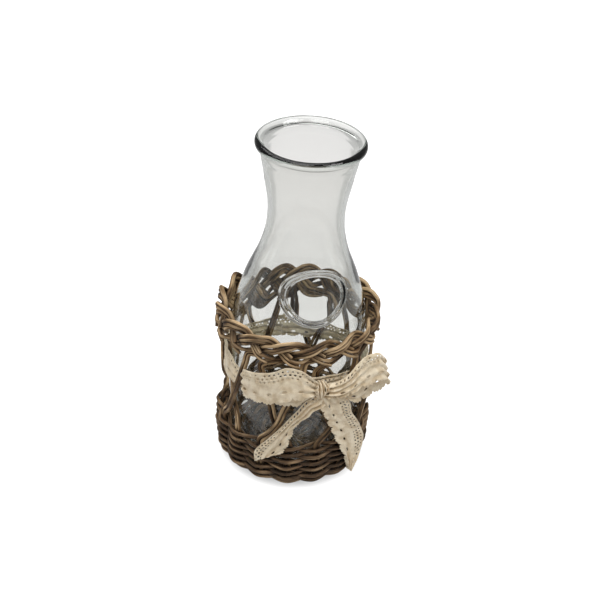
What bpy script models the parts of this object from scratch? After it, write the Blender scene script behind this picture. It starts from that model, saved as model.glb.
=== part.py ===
"""Wicker carafe: a glass carafe standing in a woven rod basket tied with a lace ribbon.

Lengths below are in millimetres and are turned into metres when the points are made.
+Z is up, the floor is z = 0, the axis of the carafe is the Z axis, and the round seal on
the glass faces -Y. Angles go round from -Y towards +X, in degrees.
"""
import math

import bmesh
import bpy
from mathutils import Vector

MM = 0.001

# Clearances
ROD_GAP = 0.3
GLASS_PLAY = 0.4
SEAT_GAP = 0.3

# Glass carafe, heights measured from its own foot
CARAFE_HEIGHT = 247.4
BODY_RADIUS = 48.3
BODY_TOP = 101.0
NECK_RADIUS = 26.5
NECK_HEIGHT = 193.0
THROAT_RADIUS = 33.0
THROAT_DROP = 12.4
THROAT_FLARE = 1.35
RIM_RADIUS = 37.3
RIM_ROLL = 2.9
MOUTH_RADIUS = 30.0
WALL = 3.0
FLOOR_THICKNESS = 5.0
FOOT_RADIUS = 41.0
FOOT_RING = 5.0
PUSH_UP = 2.5
HEEL_RADIUS = 9.0
HEEL_SWEEP = 75.0
LIP_START = 150.0
LIP_END = -60.0
GLASS_STEPS = 32

# Round seal moulded on the shoulder
SEAL_RADIUS = 20.8
SEAL_HEIGHT = 151.5
SEAL_BEAD = 2.0
SEAL_SINK = 0.5
SEAL_POINTS = 28

# Rods of the basket
STAKE_DIAMETER = 2.6
STICK_DIAMETER = 2.6
WEAVER_DIAMETER = 2.8
STICK_FLAT = 0.3
FLAT_REACH = 24.0
MITRE_LIMIT = 0.6

# Base
STICKS_EACH_WAY = 4
SPOKES = 4 * STICKS_EACH_WAY
SPOKE_STEP = 360.0 / SPOKES
SLATH_HALF = 8.0
SPOKE_START = 16.5
STICK_SHORT = 9.1
STAKE_INSERTED = 7.5
CORNER_RADIUS = 7.5
CORNER_EASE = 1.05

# Weave of the base and of the lower band
BASE_ROW_START = 19.5
BASE_ROWS = 3
BAND_ROW_PITCH = 3.05
BAND_HEIGHT = 41.0
STROKE_FLAT = 2.4
BASE_STROKE_FLAT = 4.3

# Open lattice
CROSS_PHASE = 19.0
CROSS_HEIGHT = 52.0
CROSS_BELOW = 5.0
CROSS_ABOVE = 7.0
ARM_TOP = 103.0
RIGHT_ARM_SPREAD = 17.0
LEFT_ARM_SPREAD = 16.0

# Plaited border
BORDER_CENTRE = 119.5
BORDER_SWING = 8.4
BORDER_OUT = 5.9
BORDER_DEPTH = 2.7
BORDER_SHIFT = 8.0
BORDER_ENTRY = 1.35
BORDER_TIP = 248.0

# Lace ribbon
LACE_WIDTH = 25.0
LACE_THICKNESS = 0.8
LACE_GAP = 0.3
TIE_LOW = 71.6
TIE_RISE = 19.4
TIE_STEPS = 48
LACE_COLUMNS = 9

# Knot of the bow
KNOT_ANGLE = 8.0
KNOT_HEIGHT = 94.0
KNOT_WIDTH = 15.0
KNOT_TALL = 17.0
KNOT_DEEP = 10.0

# Loops of the bow: reach is measured from the middle of the knot along the ribbon
LOOP_STATIONS = 15
LOOP_ROOT_WIDTH = 11.0
LOOP_PLEAT = 1.1
LOOP_SPREAD = 27.0
LOOP_BULGE = 4.5
LOOP_OPENING = 12.0
LOOP_PART = 0.9
LEFT_LOOP_REACH = 50.0
RIGHT_LOOP_REACH = 48.0

# Tails of the bow: angle and height of the ends, cut on the slant
TAIL_STATIONS = 13
TAIL_ROOT_WIDTH = 7.4
TAIL_ROOT_SHIFT = 4.2
TAIL_PLEAT = 0.9
TAIL_TURN = 0.3
TAIL_SPREAD = 0.6
LEFT_TAIL_ANGLE = -37.0
LEFT_TAIL_END = 26.0
LEFT_TAIL_WIDTH = 17.0
LEFT_TAIL_SLANT = 5.1
RIGHT_TAIL_ANGLE = 36.0
RIGHT_TAIL_END = 7.0
RIGHT_TAIL_WIDTH = 23.0
RIGHT_TAIL_SLANT = -6.9

# Colours: base colour, roughness, metallic
GLASS_LOOK = ((0.88, 0.92, 0.90, 1.0), 0.05, 0.0)
WICKER_LOOK = ((0.22, 0.15, 0.09, 1.0), 0.75, 0.0)
LACE_LOOK = ((0.78, 0.70, 0.56, 1.0), 0.90, 0.0)


def stroke_offset():
    """Distance from the centre of a stake to the centre of a weaver passing it."""
    thickest = max(STAKE_DIAMETER, STICK_DIAMETER)
    return thickest / 2 + ROD_GAP + WEAVER_DIAMETER / 2


SPOKE_HEIGHT = WEAVER_DIAMETER / 2 + stroke_offset()
BASE_TOP = SPOKE_HEIGHT + stroke_offset() + WEAVER_DIAMETER / 2
GLASS_FOOT = BASE_TOP + SEAT_GAP
STAKE_RADIUS = BODY_RADIUS + GLASS_PLAY + WEAVER_DIAMETER / 2 + stroke_offset()
STICK_REACH = STAKE_RADIUS - STICK_SHORT
STAKE_INSERT = STICK_REACH - STAKE_INSERTED
BASE_ROW_PITCH = (STAKE_RADIUS - CORNER_RADIUS - BASE_ROW_START) / BASE_ROWS
BORDER_RADIUS = BODY_RADIUS + BORDER_OUT
THROAT_HEIGHT = CARAFE_HEIGHT - THROAT_DROP
PAIR_HALF = (STAKE_DIAMETER + ROD_GAP) / 2
INNER_CROSS = BODY_RADIUS + GLASS_PLAY + STAKE_DIAMETER / 2
OUTER_CROSS = INNER_CROSS + STAKE_DIAMETER + ROD_GAP
TIE_RADIUS = INNER_CROSS + STAKE_DIAMETER / 2 + LACE_GAP + LACE_THICKNESS / 2
OUTER_ARM = TIE_RADIUS + LACE_THICKNESS / 2 + LACE_GAP + STAKE_DIAMETER / 2

# Ways that the surface faces along the route of a stake: outward and upward shares
FACING_DOWN = (0.0, -1.0)
FACING_CORNER = (0.7, -0.7)
FACING_OUT = (1.0, 0.0)


def clear_scene():
    """Remove whatever the scene holds before the model is built."""
    for item in list(bpy.data.objects):
        bpy.data.objects.remove(item, do_unlink=True)


def make_collection(name):
    """Make a collection in the scene, or return the one that is there."""
    group = bpy.data.collections.get(name)
    if group is None:
        group = bpy.data.collections.new(name)
        bpy.context.scene.collection.children.link(group)
    return group


def make_material(name, look):
    """Make a plain material from a colour, a roughness and a metallic value."""
    colour, roughness, metallic = look
    material = bpy.data.materials.new(name)
    material.use_nodes = True
    shader = material.node_tree.nodes["Principled BSDF"]
    shader.inputs["Base Color"].default_value = colour
    shader.inputs["Roughness"].default_value = roughness
    shader.inputs["Metallic"].default_value = metallic
    return material


def polar(radius, angle, height):
    """Point at a radius and height, at an angle from -Y towards +X, in metres."""
    turn = math.radians(angle)
    return Vector((radius * math.sin(turn), -radius * math.cos(turn), height)) * MM


def tube(name, points, diameter, material, group, closed=False, resolution=1):
    """Round rod along a list of points, with closed ends."""
    curve = bpy.data.curves.new(name, "CURVE")
    curve.dimensions = "3D"
    curve.bevel_depth = diameter / 2 * MM
    curve.bevel_resolution = resolution
    curve.use_fill_caps = not closed
    spline = curve.splines.new("POLY")
    spline.points.add(len(points) - 1)
    spline.use_cyclic_u = closed
    for knot, point in zip(spline.points, points):
        knot.co = (*point, 1.0)
    rod = bpy.data.objects.new(name, curve)
    curve.materials.append(material)
    group.objects.link(rod)
    return rod


def as_mesh(rod):
    """Turn a curve object into a mesh object of the same name and place."""
    name = rod.name
    depsgraph = bpy.context.evaluated_depsgraph_get()
    mesh = bpy.data.meshes.new_from_object(rod.evaluated_get(depsgraph))
    work = bmesh.new()
    work.from_mesh(mesh)
    bmesh.ops.remove_doubles(work, verts=work.verts, dist=0.00001)
    work.to_mesh(mesh)
    work.free()
    solid = bpy.data.objects.new(name, mesh)
    solid.matrix_world = rod.matrix_world.copy()
    for group in rod.users_collection:
        group.objects.link(solid)
    bpy.data.objects.remove(rod, do_unlink=True)
    solid.name = name
    return solid


def combine(solid, tool, operation):
    """Add a Boolean modifier that joins or cuts with another object."""
    modifier = solid.modifiers.new(operation.title(), "BOOLEAN")
    modifier.operation = operation
    modifier.object = tool
    modifier.solver = "EXACT"
    tool.hide_render = True
    tool.display_type = "WIRE"


def ease(share):
    """Smooth step from 0 to 1."""
    return share * share * (3 - 2 * share)


# Glass carafe


def outer_radius(height):
    """Outer radius of the glass wall at a height above its foot, below the rim."""
    if height <= BODY_TOP:
        return BODY_RADIUS
    if height <= NECK_HEIGHT:
        share = (height - BODY_TOP) / (NECK_HEIGHT - BODY_TOP)
        return BODY_RADIUS + (NECK_RADIUS - BODY_RADIUS) * ease(share)
    share = (height - NECK_HEIGHT) / (THROAT_HEIGHT - NECK_HEIGHT)
    return NECK_RADIUS + (THROAT_RADIUS - NECK_RADIUS) * share ** THROAT_FLARE


def arc(centre, radius, start, end, steps):
    """Points on an arc of a circle, angles in degrees."""
    points = []
    for index in range(steps + 1):
        turn = math.radians(start + (end - start) * index / steps)
        points.append((centre[0] + radius * math.cos(turn), centre[1] + radius * math.sin(turn)))
    return points


def spread(start, end, steps):
    """Evenly spaced heights from start to end, the end left out."""
    return [start + (end - start) * index / steps for index in range(steps)]


def glass_profile():
    """Half section of the carafe, from the middle of its floor over the rim to its foot."""
    inner = [(0.0, FLOOR_THICKNESS + PUSH_UP)]
    inner_heel = HEEL_RADIUS - WALL
    bottom = FLOOR_THICKNESS + inner_heel
    inner += arc((BODY_RADIUS - WALL - inner_heel, bottom), inner_heel, -90, 0, 3)
    heights = spread(BODY_TOP, NECK_HEIGHT, 7) + spread(NECK_HEIGHT, THROAT_HEIGHT, 4)
    inner += [(outer_radius(height) - WALL, height) for height in heights]
    inner.append((MOUTH_RADIUS, THROAT_HEIGHT))
    rim_centre = (RIM_RADIUS - RIM_ROLL, CARAFE_HEIGHT - RIM_ROLL)
    rim = arc(rim_centre, RIM_ROLL, LIP_START, LIP_END, 7)
    heel = arc((BODY_RADIUS - HEEL_RADIUS, HEEL_RADIUS), HEEL_RADIUS, 0, -HEEL_SWEEP, 3)
    foot = [(FOOT_RADIUS, 0.0), (FOOT_RADIUS - FOOT_RING, 0.0), (0.0, PUSH_UP)]
    outer = [(outer_radius(height), height) for height in reversed(heights)]
    throat = [(THROAT_RADIUS, THROAT_HEIGHT)]
    return inner + rim + throat + outer + heel + foot


def seal_point(turn):
    """Point of the seal's bead, laid on the curved shoulder of the glass."""
    slope = (outer_radius(SEAL_HEIGHT + 1) - outer_radius(SEAL_HEIGHT - 1)) / 2
    upright = 1 / math.hypot(1, slope)
    height = SEAL_HEIGHT + SEAL_RADIUS * math.sin(turn) * upright
    radius = outer_radius(height)
    across = SEAL_RADIUS * math.cos(turn)
    angle = math.degrees(across / radius)
    return polar(radius - SEAL_SINK * upright, angle, GLASS_FOOT + height - SEAL_SINK * slope * upright)


def build_glass(group, cutters, material):
    """Turned carafe with the round seal joined to its shoulder."""
    profile = glass_profile()
    mesh = bpy.data.meshes.new("glass_carafe")
    vertices = [(radius * MM, 0.0, (GLASS_FOOT + height) * MM) for radius, height in profile]
    edges = [(index, index + 1) for index in range(len(profile) - 1)]
    mesh.from_pydata(vertices, edges, [])
    mesh.materials.append(material)
    glass = bpy.data.objects.new("glass_carafe", mesh)
    group.objects.link(glass)
    screw = glass.modifiers.new("Turn", "SCREW")
    screw.axis = "Z"
    screw.steps = GLASS_STEPS
    screw.render_steps = GLASS_STEPS
    screw.use_merge_vertices = True
    screw.merge_threshold = 0.00001
    screw.use_smooth_shade = True
    turns = [2 * math.pi * index / SEAL_POINTS for index in range(SEAL_POINTS)]
    bead = tube("seal_bead", [seal_point(turn) for turn in turns], 2 * SEAL_BEAD,
                material, cutters, closed=True, resolution=2)
    combine(glass, as_mesh(bead), "UNION")


# Meridian of the basket: the line that the stakes follow from the base up the side


def meridian_points():
    """Corners of the meridian: base line, two chords round the corner, side."""
    centre = (STAKE_RADIUS - CORNER_RADIUS, SPOKE_HEIGHT + CORNER_RADIUS)
    return [(0.0, SPOKE_HEIGHT)] + arc(centre, CORNER_RADIUS, -90, 0, 2)


def meridian(distance):
    """Radius, height and outward direction of the meridian at a distance along it."""
    corners = meridian_points()
    centre = (STAKE_RADIUS - CORNER_RADIUS, SPOKE_HEIGHT + CORNER_RADIUS)
    left = distance
    for start, end in zip(corners, corners[1:]):
        length = math.dist(start, end)
        if left <= length:
            share = left / length
            radius = start[0] + (end[0] - start[0]) * share
            height = start[1] + (end[1] - start[1]) * share
            turn = math.atan2(height - centre[1], radius - centre[0])
            if radius <= centre[0]:
                turn = -math.pi / 2
            return radius, height, (math.cos(turn), math.sin(turn))
        left -= length
    return STAKE_RADIUS, corners[-1][1] + left, (1.0, 0.0)


def side_distance(height):
    """Distance along the meridian at which the side reaches a height."""
    corners = meridian_points()
    corner = sum(math.dist(start, end) for start, end in zip(corners, corners[1:]))
    return corner + height - corners[-1][1]


def lean_angle(height):
    """How far a pair has leaned from its spoke towards its neighbour at a height."""
    share = (height - BAND_HEIGHT) / (CROSS_HEIGHT - BAND_HEIGHT)
    return SPOKE_STEP / 2 * min(1.0, max(0.0, share))


def spoke_angle(index):
    """Angle of a pair of stakes in the weave, below the lattice."""
    return CROSS_PHASE + SPOKE_STEP * (index - 0.5)


# Base sticks


def stick_points(place, layer):
    """Route of a base stick: straight through the middle, then fanned out like spokes."""
    pitch = STICK_DIAMETER + ROD_GAP
    across = (place - (STICKS_EACH_WAY - 1) / 2) * pitch
    fan = (place - (STICKS_EACH_WAY - 1) / 2) * SPOKE_STEP
    low = STICK_DIAMETER / 2 - STICK_FLAT
    middle_height = low + layer * pitch
    heading = CROSS_PHASE + 90.0 * layer
    half = []
    for radius in (SPOKE_START, STICK_REACH):
        turn = math.radians(fan)
        half.append((radius * math.cos(turn), radius * math.sin(turn), SPOKE_HEIGHT))
    straight = (SLATH_HALF, across, middle_height)
    right = [straight] + half
    left = [(-x, y, z) for x, y, z in reversed(right)]
    turn = math.radians(heading)
    points = []
    for x, y, z in left + right:
        points.append(Vector((x * math.cos(turn) - y * math.sin(turn),
                              x * math.sin(turn) + y * math.cos(turn), z)) * MM)
    return points


def build_sticks(group, cutters, material):
    """Eight base sticks, four laid across four, the lower ones flat where they rest."""
    bpy.ops.mesh.primitive_cube_add(size=1.0)
    floor = bpy.context.active_object
    floor.name = "floor_cutter"
    for owner in list(floor.users_collection):
        owner.objects.unlink(floor)
    cutters.objects.link(floor)
    floor.scale = (2 * FLAT_REACH * MM, 2 * FLAT_REACH * MM, FLAT_REACH * MM)
    floor.location = (0.0, 0.0, -FLAT_REACH / 2 * MM)
    for layer in range(2):
        for place in range(STICKS_EACH_WAY):
            name = f"base_stick_{layer * STICKS_EACH_WAY + place + 1}"
            stick = tube(name, stick_points(place, layer), STICK_DIAMETER, material, group)
            if layer == 0:
                combine(as_mesh(stick), floor, "DIFFERENCE")


# Weavers


def corner_squeeze():
    """How much closer the rows lie on the inner side of the corner."""
    return 1 - stroke_offset() / 2 / CORNER_RADIUS


def corner_span():
    """Where the corner starts and ends along the meridian."""
    corners = meridian_points()
    start = corners[1][0]
    return start, start + sum(math.dist(a, b) for a, b in zip(corners[1:], corners[2:]))


def band_rows():
    """Number of rows in the corner and the lower band, and their spacing."""
    start, end = corner_span()
    top = side_distance(BAND_HEIGHT - WEAVER_DIAMETER / 2)
    first = BASE_ROW_START + BASE_ROW_PITCH * BASE_ROWS
    length = top - first - (end - start) * (1 - corner_squeeze())
    rows = int(length / BAND_ROW_PITCH)
    rows -= (rows + BASE_ROWS + 1) % 2
    return rows, length / rows


def row_distance(row):
    """Distance along the meridian of a row of weaving, counted in whole and part rows."""
    if row <= BASE_ROWS:
        return BASE_ROW_START + BASE_ROW_PITCH * row
    start, end = corner_span()
    squeeze = corner_squeeze()
    first = BASE_ROW_START + BASE_ROW_PITCH * BASE_ROWS
    plain = first + band_rows()[1] * (row - BASE_ROWS)
    if plain <= start:
        return plain
    if plain <= start + (end - start) * squeeze:
        return start + (plain - start) / squeeze
    return plain + (end - start) * (1 - squeeze)


def weaver_points(first_row):
    """Route of one of the two weavers that chase each other round the spokes."""
    points = []
    turns = (BASE_ROWS + band_rows()[0] - 1) // 2
    for step in range(turns * SPOKES):
        spoke = step % SPOKES
        row = first_row + 2 * step / SPOKES
        distance = row_distance(row)
        radius, height, outward = meridian(distance)
        side = 1 if (spoke + first_row) % 2 == 0 else -1
        offset = side * stroke_offset()
        if radius > STAKE_RADIUS - CORNER_RADIUS and outward[0] < 1.0:
            offset *= CORNER_EASE
        flat = STROKE_FLAT
        if STAKE_INSERT - WEAVER_DIAMETER < distance < STAKE_RADIUS:
            flat = BASE_STROKE_FLAT
        middle = spoke_angle(spoke)
        half = math.degrees(flat / radius)
        for shift in (-half, half):
            points.append(polar(radius + outward[0] * offset, middle + shift,
                                height + outward[1] * offset))
    return points


# Stakes


def along(points, index):
    """Unit steps before and after a point of a route."""
    before = points[index] - points[max(index - 1, 0)]
    after = points[min(index + 1, len(points) - 1)] - points[index]
    if before.length == 0:
        before = after
    if after.length == 0:
        after = before
    return before.normalized(), after.normalized()


def pair_route(index):
    """Middle route of a pair of stakes: list of point, surface direction and half gap."""
    crossing_right = index % 2 == 0
    side = 1 if crossing_right else -1
    middle = CROSS_PHASE + 2 * SPOKE_STEP * (index // 2)
    start = middle - side * SPOKE_STEP / 2
    wide = (STICK_DIAMETER + STAKE_DIAMETER) / 2 + ROD_GAP
    base, bend, side_start = meridian_points()[1:]
    route = [(polar(STAKE_INSERT, start, SPOKE_HEIGHT), FACING_DOWN, wide),
             (polar(base[0], start, base[1]), FACING_DOWN, wide),
             (polar(bend[0], start, bend[1]), FACING_CORNER, PAIR_HALF),
             (polar(side_start[0], start, side_start[1]), FACING_OUT, PAIR_HALF),
             (polar(STAKE_RADIUS, start, BAND_HEIGHT), FACING_OUT, PAIR_HALF)]
    cross_radius = OUTER_CROSS if crossing_right else INNER_CROSS
    below = CROSS_HEIGHT - CROSS_BELOW
    route.append((polar(cross_radius, start + side * lean_angle(below), below),
                  FACING_OUT, PAIR_HALF))
    arm_spread = RIGHT_ARM_SPREAD if crossing_right else LEFT_ARM_SPREAD
    slope = arm_spread / (ARM_TOP - CROSS_HEIGHT)
    arm_radius = OUTER_ARM if crossing_right else INNER_CROSS
    arm_bottom = CROSS_HEIGHT + CROSS_ABOVE
    for height in (arm_bottom, (arm_bottom + ARM_TOP) / 2, ARM_TOP):
        leaned = middle + side * slope * (height - CROSS_HEIGHT)
        route.append((polar(arm_radius, leaned, height), FACING_OUT, PAIR_HALF))
    bottom = middle + BORDER_SHIFT + side * SPOKE_STEP / 2
    for radius, angle, height in border_points(bottom):
        route.append((polar(radius, angle, height), FACING_OUT, PAIR_HALF))
    return route


def border_points(bottom):
    """One stroke of the three-strand plait, up over the crown and down to its tip.

    The stroke starts at the lowest point of a wave, runs a sixth of a wave at a time and
    ends at BORDER_TIP degrees of the wave. It changes from inside to outside twice a wave.
    """
    points = []
    for turn in (0.0, 60.0, 120.0, 180.0, 240.0, 300.0, BORDER_TIP + 90.0):
        place = bottom + 3 * SPOKE_STEP * turn / 360.0
        height = BORDER_CENTRE - BORDER_SWING * math.cos(math.radians(turn))
        depth = -BORDER_DEPTH * math.sin(math.radians(2 * turn)) / math.sin(math.radians(60.0))
        if turn == 0.0:
            depth = -BORDER_ENTRY
        points.append((BORDER_RADIUS + depth, place, height))
    return points


def stake_points(index, side):
    """Route of one stake of a pair, set to one side of the pair's middle route."""
    route = pair_route(index)
    middles = [point for point, _, _ in route]
    points = []
    for place, (point, facing, half) in enumerate(route):
        before, after = along(middles, place)
        flat = Vector((point.x, point.y, 0.0)).normalized()
        outward = Vector((flat.x * facing[0], flat.y * facing[0], facing[1])).normalized()
        first = outward.cross(before).normalized()
        second = outward.cross(after).normalized()
        mitre = (first + second).normalized()
        widen = 1 / max(MITRE_LIMIT, mitre.dot(first))
        points.append(point + mitre * side * half * widen * MM)
    return points


# Lace ribbon


def cloth(name, rows, material, group, closed=False):
    """Sheet through rows of points, given its thickness by Solidify."""
    work = bmesh.new()
    grid = [[work.verts.new(point) for point in row] for row in rows]
    if closed:
        grid.append(grid[0])
    for near, far in zip(grid, grid[1:]):
        for index in range(len(near) - 1):
            work.faces.new((near[index], far[index], far[index + 1], near[index + 1]))
    mesh = bpy.data.meshes.new(name)
    work.to_mesh(mesh)
    work.free()
    mesh.materials.append(material)
    mesh.shade_smooth()
    sheet = bpy.data.objects.new(name, mesh)
    group.objects.link(sheet)
    solidify = sheet.modifiers.new("Thickness", "SOLIDIFY")
    solidify.thickness = LACE_THICKNESS * MM
    solidify.offset = 0.0
    return sheet


def build_tie(group, material):
    """Ribbon threaded between the inner and the outer arms, rising towards the knot."""
    rows = []
    for step in range(TIE_STEPS):
        angle = 360.0 * step / TIE_STEPS
        front = (1 + math.cos(math.radians(angle - KNOT_ANGLE))) / 2
        middle = TIE_LOW + TIE_RISE * front ** 2
        rows.append([polar(TIE_RADIUS, angle, middle + side * LACE_WIDTH / 2) for side in (-1, 1)])
    cloth("ribbon_tie", rows, material, group, closed=True)


def knot_radius():
    """Radius of the middle of the knot, which sits against the outer arms."""
    return OUTER_ARM + STAKE_DIAMETER / 2 + LACE_GAP + KNOT_DEEP / 2


def build_knot(group, material):
    """Knot of the bow: a soft lump on the ribbon."""
    mesh = bpy.data.meshes.new("bow_knot")
    work = bmesh.new()
    bmesh.ops.create_cube(work, size=1.0)
    bmesh.ops.subdivide_edges(work, edges=work.edges, cuts=1, use_grid_fill=True)
    size = Vector((KNOT_WIDTH, KNOT_DEEP, KNOT_TALL)) * MM
    bmesh.ops.scale(work, vec=size, verts=work.verts)
    work.to_mesh(mesh)
    work.free()
    mesh.materials.append(material)
    mesh.shade_smooth()
    knot = bpy.data.objects.new("bow_knot", mesh)
    group.objects.link(knot)
    knot.location = polar(knot_radius(), KNOT_ANGLE, KNOT_HEIGHT)
    knot.rotation_euler.z = math.radians(KNOT_ANGLE)
    rounding = knot.modifiers.new("Round", "SUBSURF")
    rounding.levels = 1
    rounding.render_levels = 1


def columns():
    """Places across a gathered ribbon from -0.5 to 0.5, with the side each fold goes to."""
    last = LACE_COLUMNS - 1
    return [(index / last - 0.5, 1 - 2 * (index % 2)) for index in range(LACE_COLUMNS)]


def loop_rows(direction, reach, bent):
    """Rows of points of one loop: out along its front, round its end and back behind.

    A bent loop follows the basket round; one that is not bent stands off straight.
    """
    root = KNOT_WIDTH / 2 + LACE_GAP
    border = BORDER_RADIUS + BORDER_DEPTH + STAKE_DIAMETER / 2
    middle = border + LACE_GAP + LACE_THICKNESS / 2 + LOOP_PART + LOOP_BULGE
    rows = []
    for station in range(LOOP_STATIONS):
        turn = math.pi * (1.0 - 2.0 * station / (LOOP_STATIONS - 1))
        out = root + (reach - root) * (1 + math.cos(turn)) / 2
        opening = ease(min(1.0, (out - root) / LOOP_OPENING))
        depth = middle + math.sin(turn) * LOOP_BULGE * opening + LOOP_PART * math.copysign(1, turn)
        fullness = ease(min(1.0, (out - root) / LOOP_SPREAD))
        width = LOOP_ROOT_WIDTH + (LACE_WIDTH - LOOP_ROOT_WIDTH) * fullness
        row = []
        for share, fold in columns():
            height = KNOT_HEIGHT + width * share
            radius = depth + LOOP_PLEAT * fold * (1 - fullness) / 2
            if bent:
                angle = KNOT_ANGLE + direction * math.degrees(out / knot_radius())
                row.append(polar(radius, angle, height))
            else:
                sideways = polar(direction * out, KNOT_ANGLE + 90.0, 0.0)
                row.append(polar(radius, KNOT_ANGLE, height) + sideways)
        rows.append(row)
    return rows


def tail_rows(direction, end_angle, end_height, width, slant):
    """Rows of points of a tail, from under the knot to an end cut on the slant."""
    lying = STAKE_RADIUS + stroke_offset() + WEAVER_DIAMETER / 2 + LACE_GAP + LACE_THICKNESS / 2
    start_angle = KNOT_ANGLE + direction * math.degrees(TAIL_ROOT_SHIFT / lying)
    start_height = KNOT_HEIGHT - KNOT_TALL / 2 - LACE_GAP
    run = math.radians(end_angle - start_angle) * lying
    fall = end_height - start_height
    lean = math.atan2(run, -fall)
    rows = []
    for station in range(TAIL_STATIONS):
        share = station / (TAIL_STATIONS - 1)
        angle = start_angle + (end_angle - start_angle) * share
        height = start_height + fall * share
        turn = lean * ease(min(1.0, share / TAIL_TURN))
        spread_width = width - TAIL_ROOT_WIDTH
        full = TAIL_ROOT_WIDTH + spread_width * ease(min(1.0, share / TAIL_SPREAD))
        pleat = TAIL_PLEAT * (1 - TAIL_SPREAD * share)
        row = []
        for place, fold in columns():
            across = place * full
            down = place * slant * ease(share)
            sideways = across * math.cos(turn) + down * math.sin(turn)
            upward = across * math.sin(turn) - down * math.cos(turn)
            row.append(polar(lying + pleat * (1 + fold), angle + math.degrees(sideways / lying),
                             height + upward))
        rows.append(row)
    return rows


def build_bow(group, material):
    """Knot, two loops and two tails of the bow."""
    build_knot(group, material)
    cloth("bow_loop_left", loop_rows(-1, LEFT_LOOP_REACH, True), material, group)
    cloth("bow_loop_right", loop_rows(1, RIGHT_LOOP_REACH, False), material, group)
    left = tail_rows(-1, LEFT_TAIL_ANGLE, LEFT_TAIL_END, LEFT_TAIL_WIDTH, LEFT_TAIL_SLANT)
    cloth("bow_tail_left", left, material, group)
    right = tail_rows(1, RIGHT_TAIL_ANGLE, RIGHT_TAIL_END, RIGHT_TAIL_WIDTH, RIGHT_TAIL_SLANT)
    cloth("bow_tail_right", right, material, group)


def build():
    """Build every piece of the object."""
    clear_scene()
    group = make_collection("wicker_carafe")
    cutters = make_collection("cutters")
    glass = make_material("clear_glass", GLASS_LOOK)
    wicker = make_material("wicker_rod", WICKER_LOOK)
    lace = make_material("cotton_lace", LACE_LOOK)
    build_glass(group, cutters, glass)
    build_sticks(group, cutters, wicker)
    for first_row, letter in enumerate("ab"):
        tube(f"weaver_{letter}", weaver_points(first_row), WEAVER_DIAMETER, wicker, group)
    for index in range(SPOKES):
        for side, letter in ((-1, "a"), (1, "b")):
            tube(f"stake_{index + 1:02d}{letter}", stake_points(index, side),
                 STAKE_DIAMETER, wicker, group)
    build_tie(group, lace)
    build_bow(group, lace)


build()
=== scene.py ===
"""Looks of a wicker carafe: a glass carafe in a basket of woven rods, tied with a lace ribbon.

Sizes are in millimetres unless a name says otherwise, and become metres when points are made.
+Z is up, the floor is z = 0, the carafe's axis is the Z axis and its round seal faces -Y.
Angles go round from -Y towards +X, in degrees.
"""

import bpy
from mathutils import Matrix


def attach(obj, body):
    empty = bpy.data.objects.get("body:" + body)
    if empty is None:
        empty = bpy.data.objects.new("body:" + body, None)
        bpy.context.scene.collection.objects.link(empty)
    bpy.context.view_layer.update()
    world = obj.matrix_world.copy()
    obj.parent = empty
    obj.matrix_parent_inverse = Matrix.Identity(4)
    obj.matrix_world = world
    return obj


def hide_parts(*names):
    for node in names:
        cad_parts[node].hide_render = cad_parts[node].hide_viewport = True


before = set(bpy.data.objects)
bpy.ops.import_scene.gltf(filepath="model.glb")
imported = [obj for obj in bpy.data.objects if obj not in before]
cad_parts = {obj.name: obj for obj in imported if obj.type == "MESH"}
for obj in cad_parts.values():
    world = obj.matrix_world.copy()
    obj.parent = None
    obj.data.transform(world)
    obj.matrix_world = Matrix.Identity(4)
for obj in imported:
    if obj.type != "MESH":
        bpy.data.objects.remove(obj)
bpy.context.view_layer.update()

import logging
import math
import random
from dataclasses import astuple, dataclass, field
from enum import Enum

import bmesh
import bpy
import numpy as np
from mathutils import Matrix, Vector, noise
from mathutils.bvhtree import BVHTree

MM = 0.001
# Noise vectors take their seed from the clock unless one is set
NOISE_SEED = 1
SAME_PLACE = 0.002 * MM
log = logging.getLogger("wicker_carafe")


class Body(Enum):
    """CAD bodies that pieces move with."""

    BASKET = "basket"
    CARAFE = "carafe"


class Slot(Enum):
    """Material slots of the record."""

    GLASS = "clear_glass"
    WICKER = "wicker_rod"
    LACE = "cotton_lace"


# Shapes and helpers


def polar(radius: float, angle: float, height: float) -> Vector:
    """Point at a radius and height, at an angle from -Y towards +X.

    Args:
        radius: distance from the axis, mm.
        angle: angle from -Y towards +X, degrees.
        height: height above the floor, mm.

    Returns:
        The point in metres.
    """
    turn = math.radians(angle)
    return Vector((radius * math.sin(turn), -radius * math.cos(turn), height)) * MM


def ease(share: float) -> float:
    """Smooth step from 0 to 1."""
    share = min(1.0, max(0.0, share))
    return share * share * (3 - 2 * share)


def bell(angle: float, middle: float, wide: float) -> float:
    """Share that is 1 at a middle angle and falls off over a width, in degrees."""
    return math.exp(-((angle - middle + 180.0) % 360.0 - 180.0) ** 2 / (2 * wide ** 2))


def arc(radius: float, height: float, bend: float, turns: range) -> list[tuple]:
    """Points of an arc round a radius and height, at angles in degrees from level."""
    return [(radius + bend * math.cos(math.radians(turn)),
             height + bend * math.sin(math.radians(turn))) for turn in turns]


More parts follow.
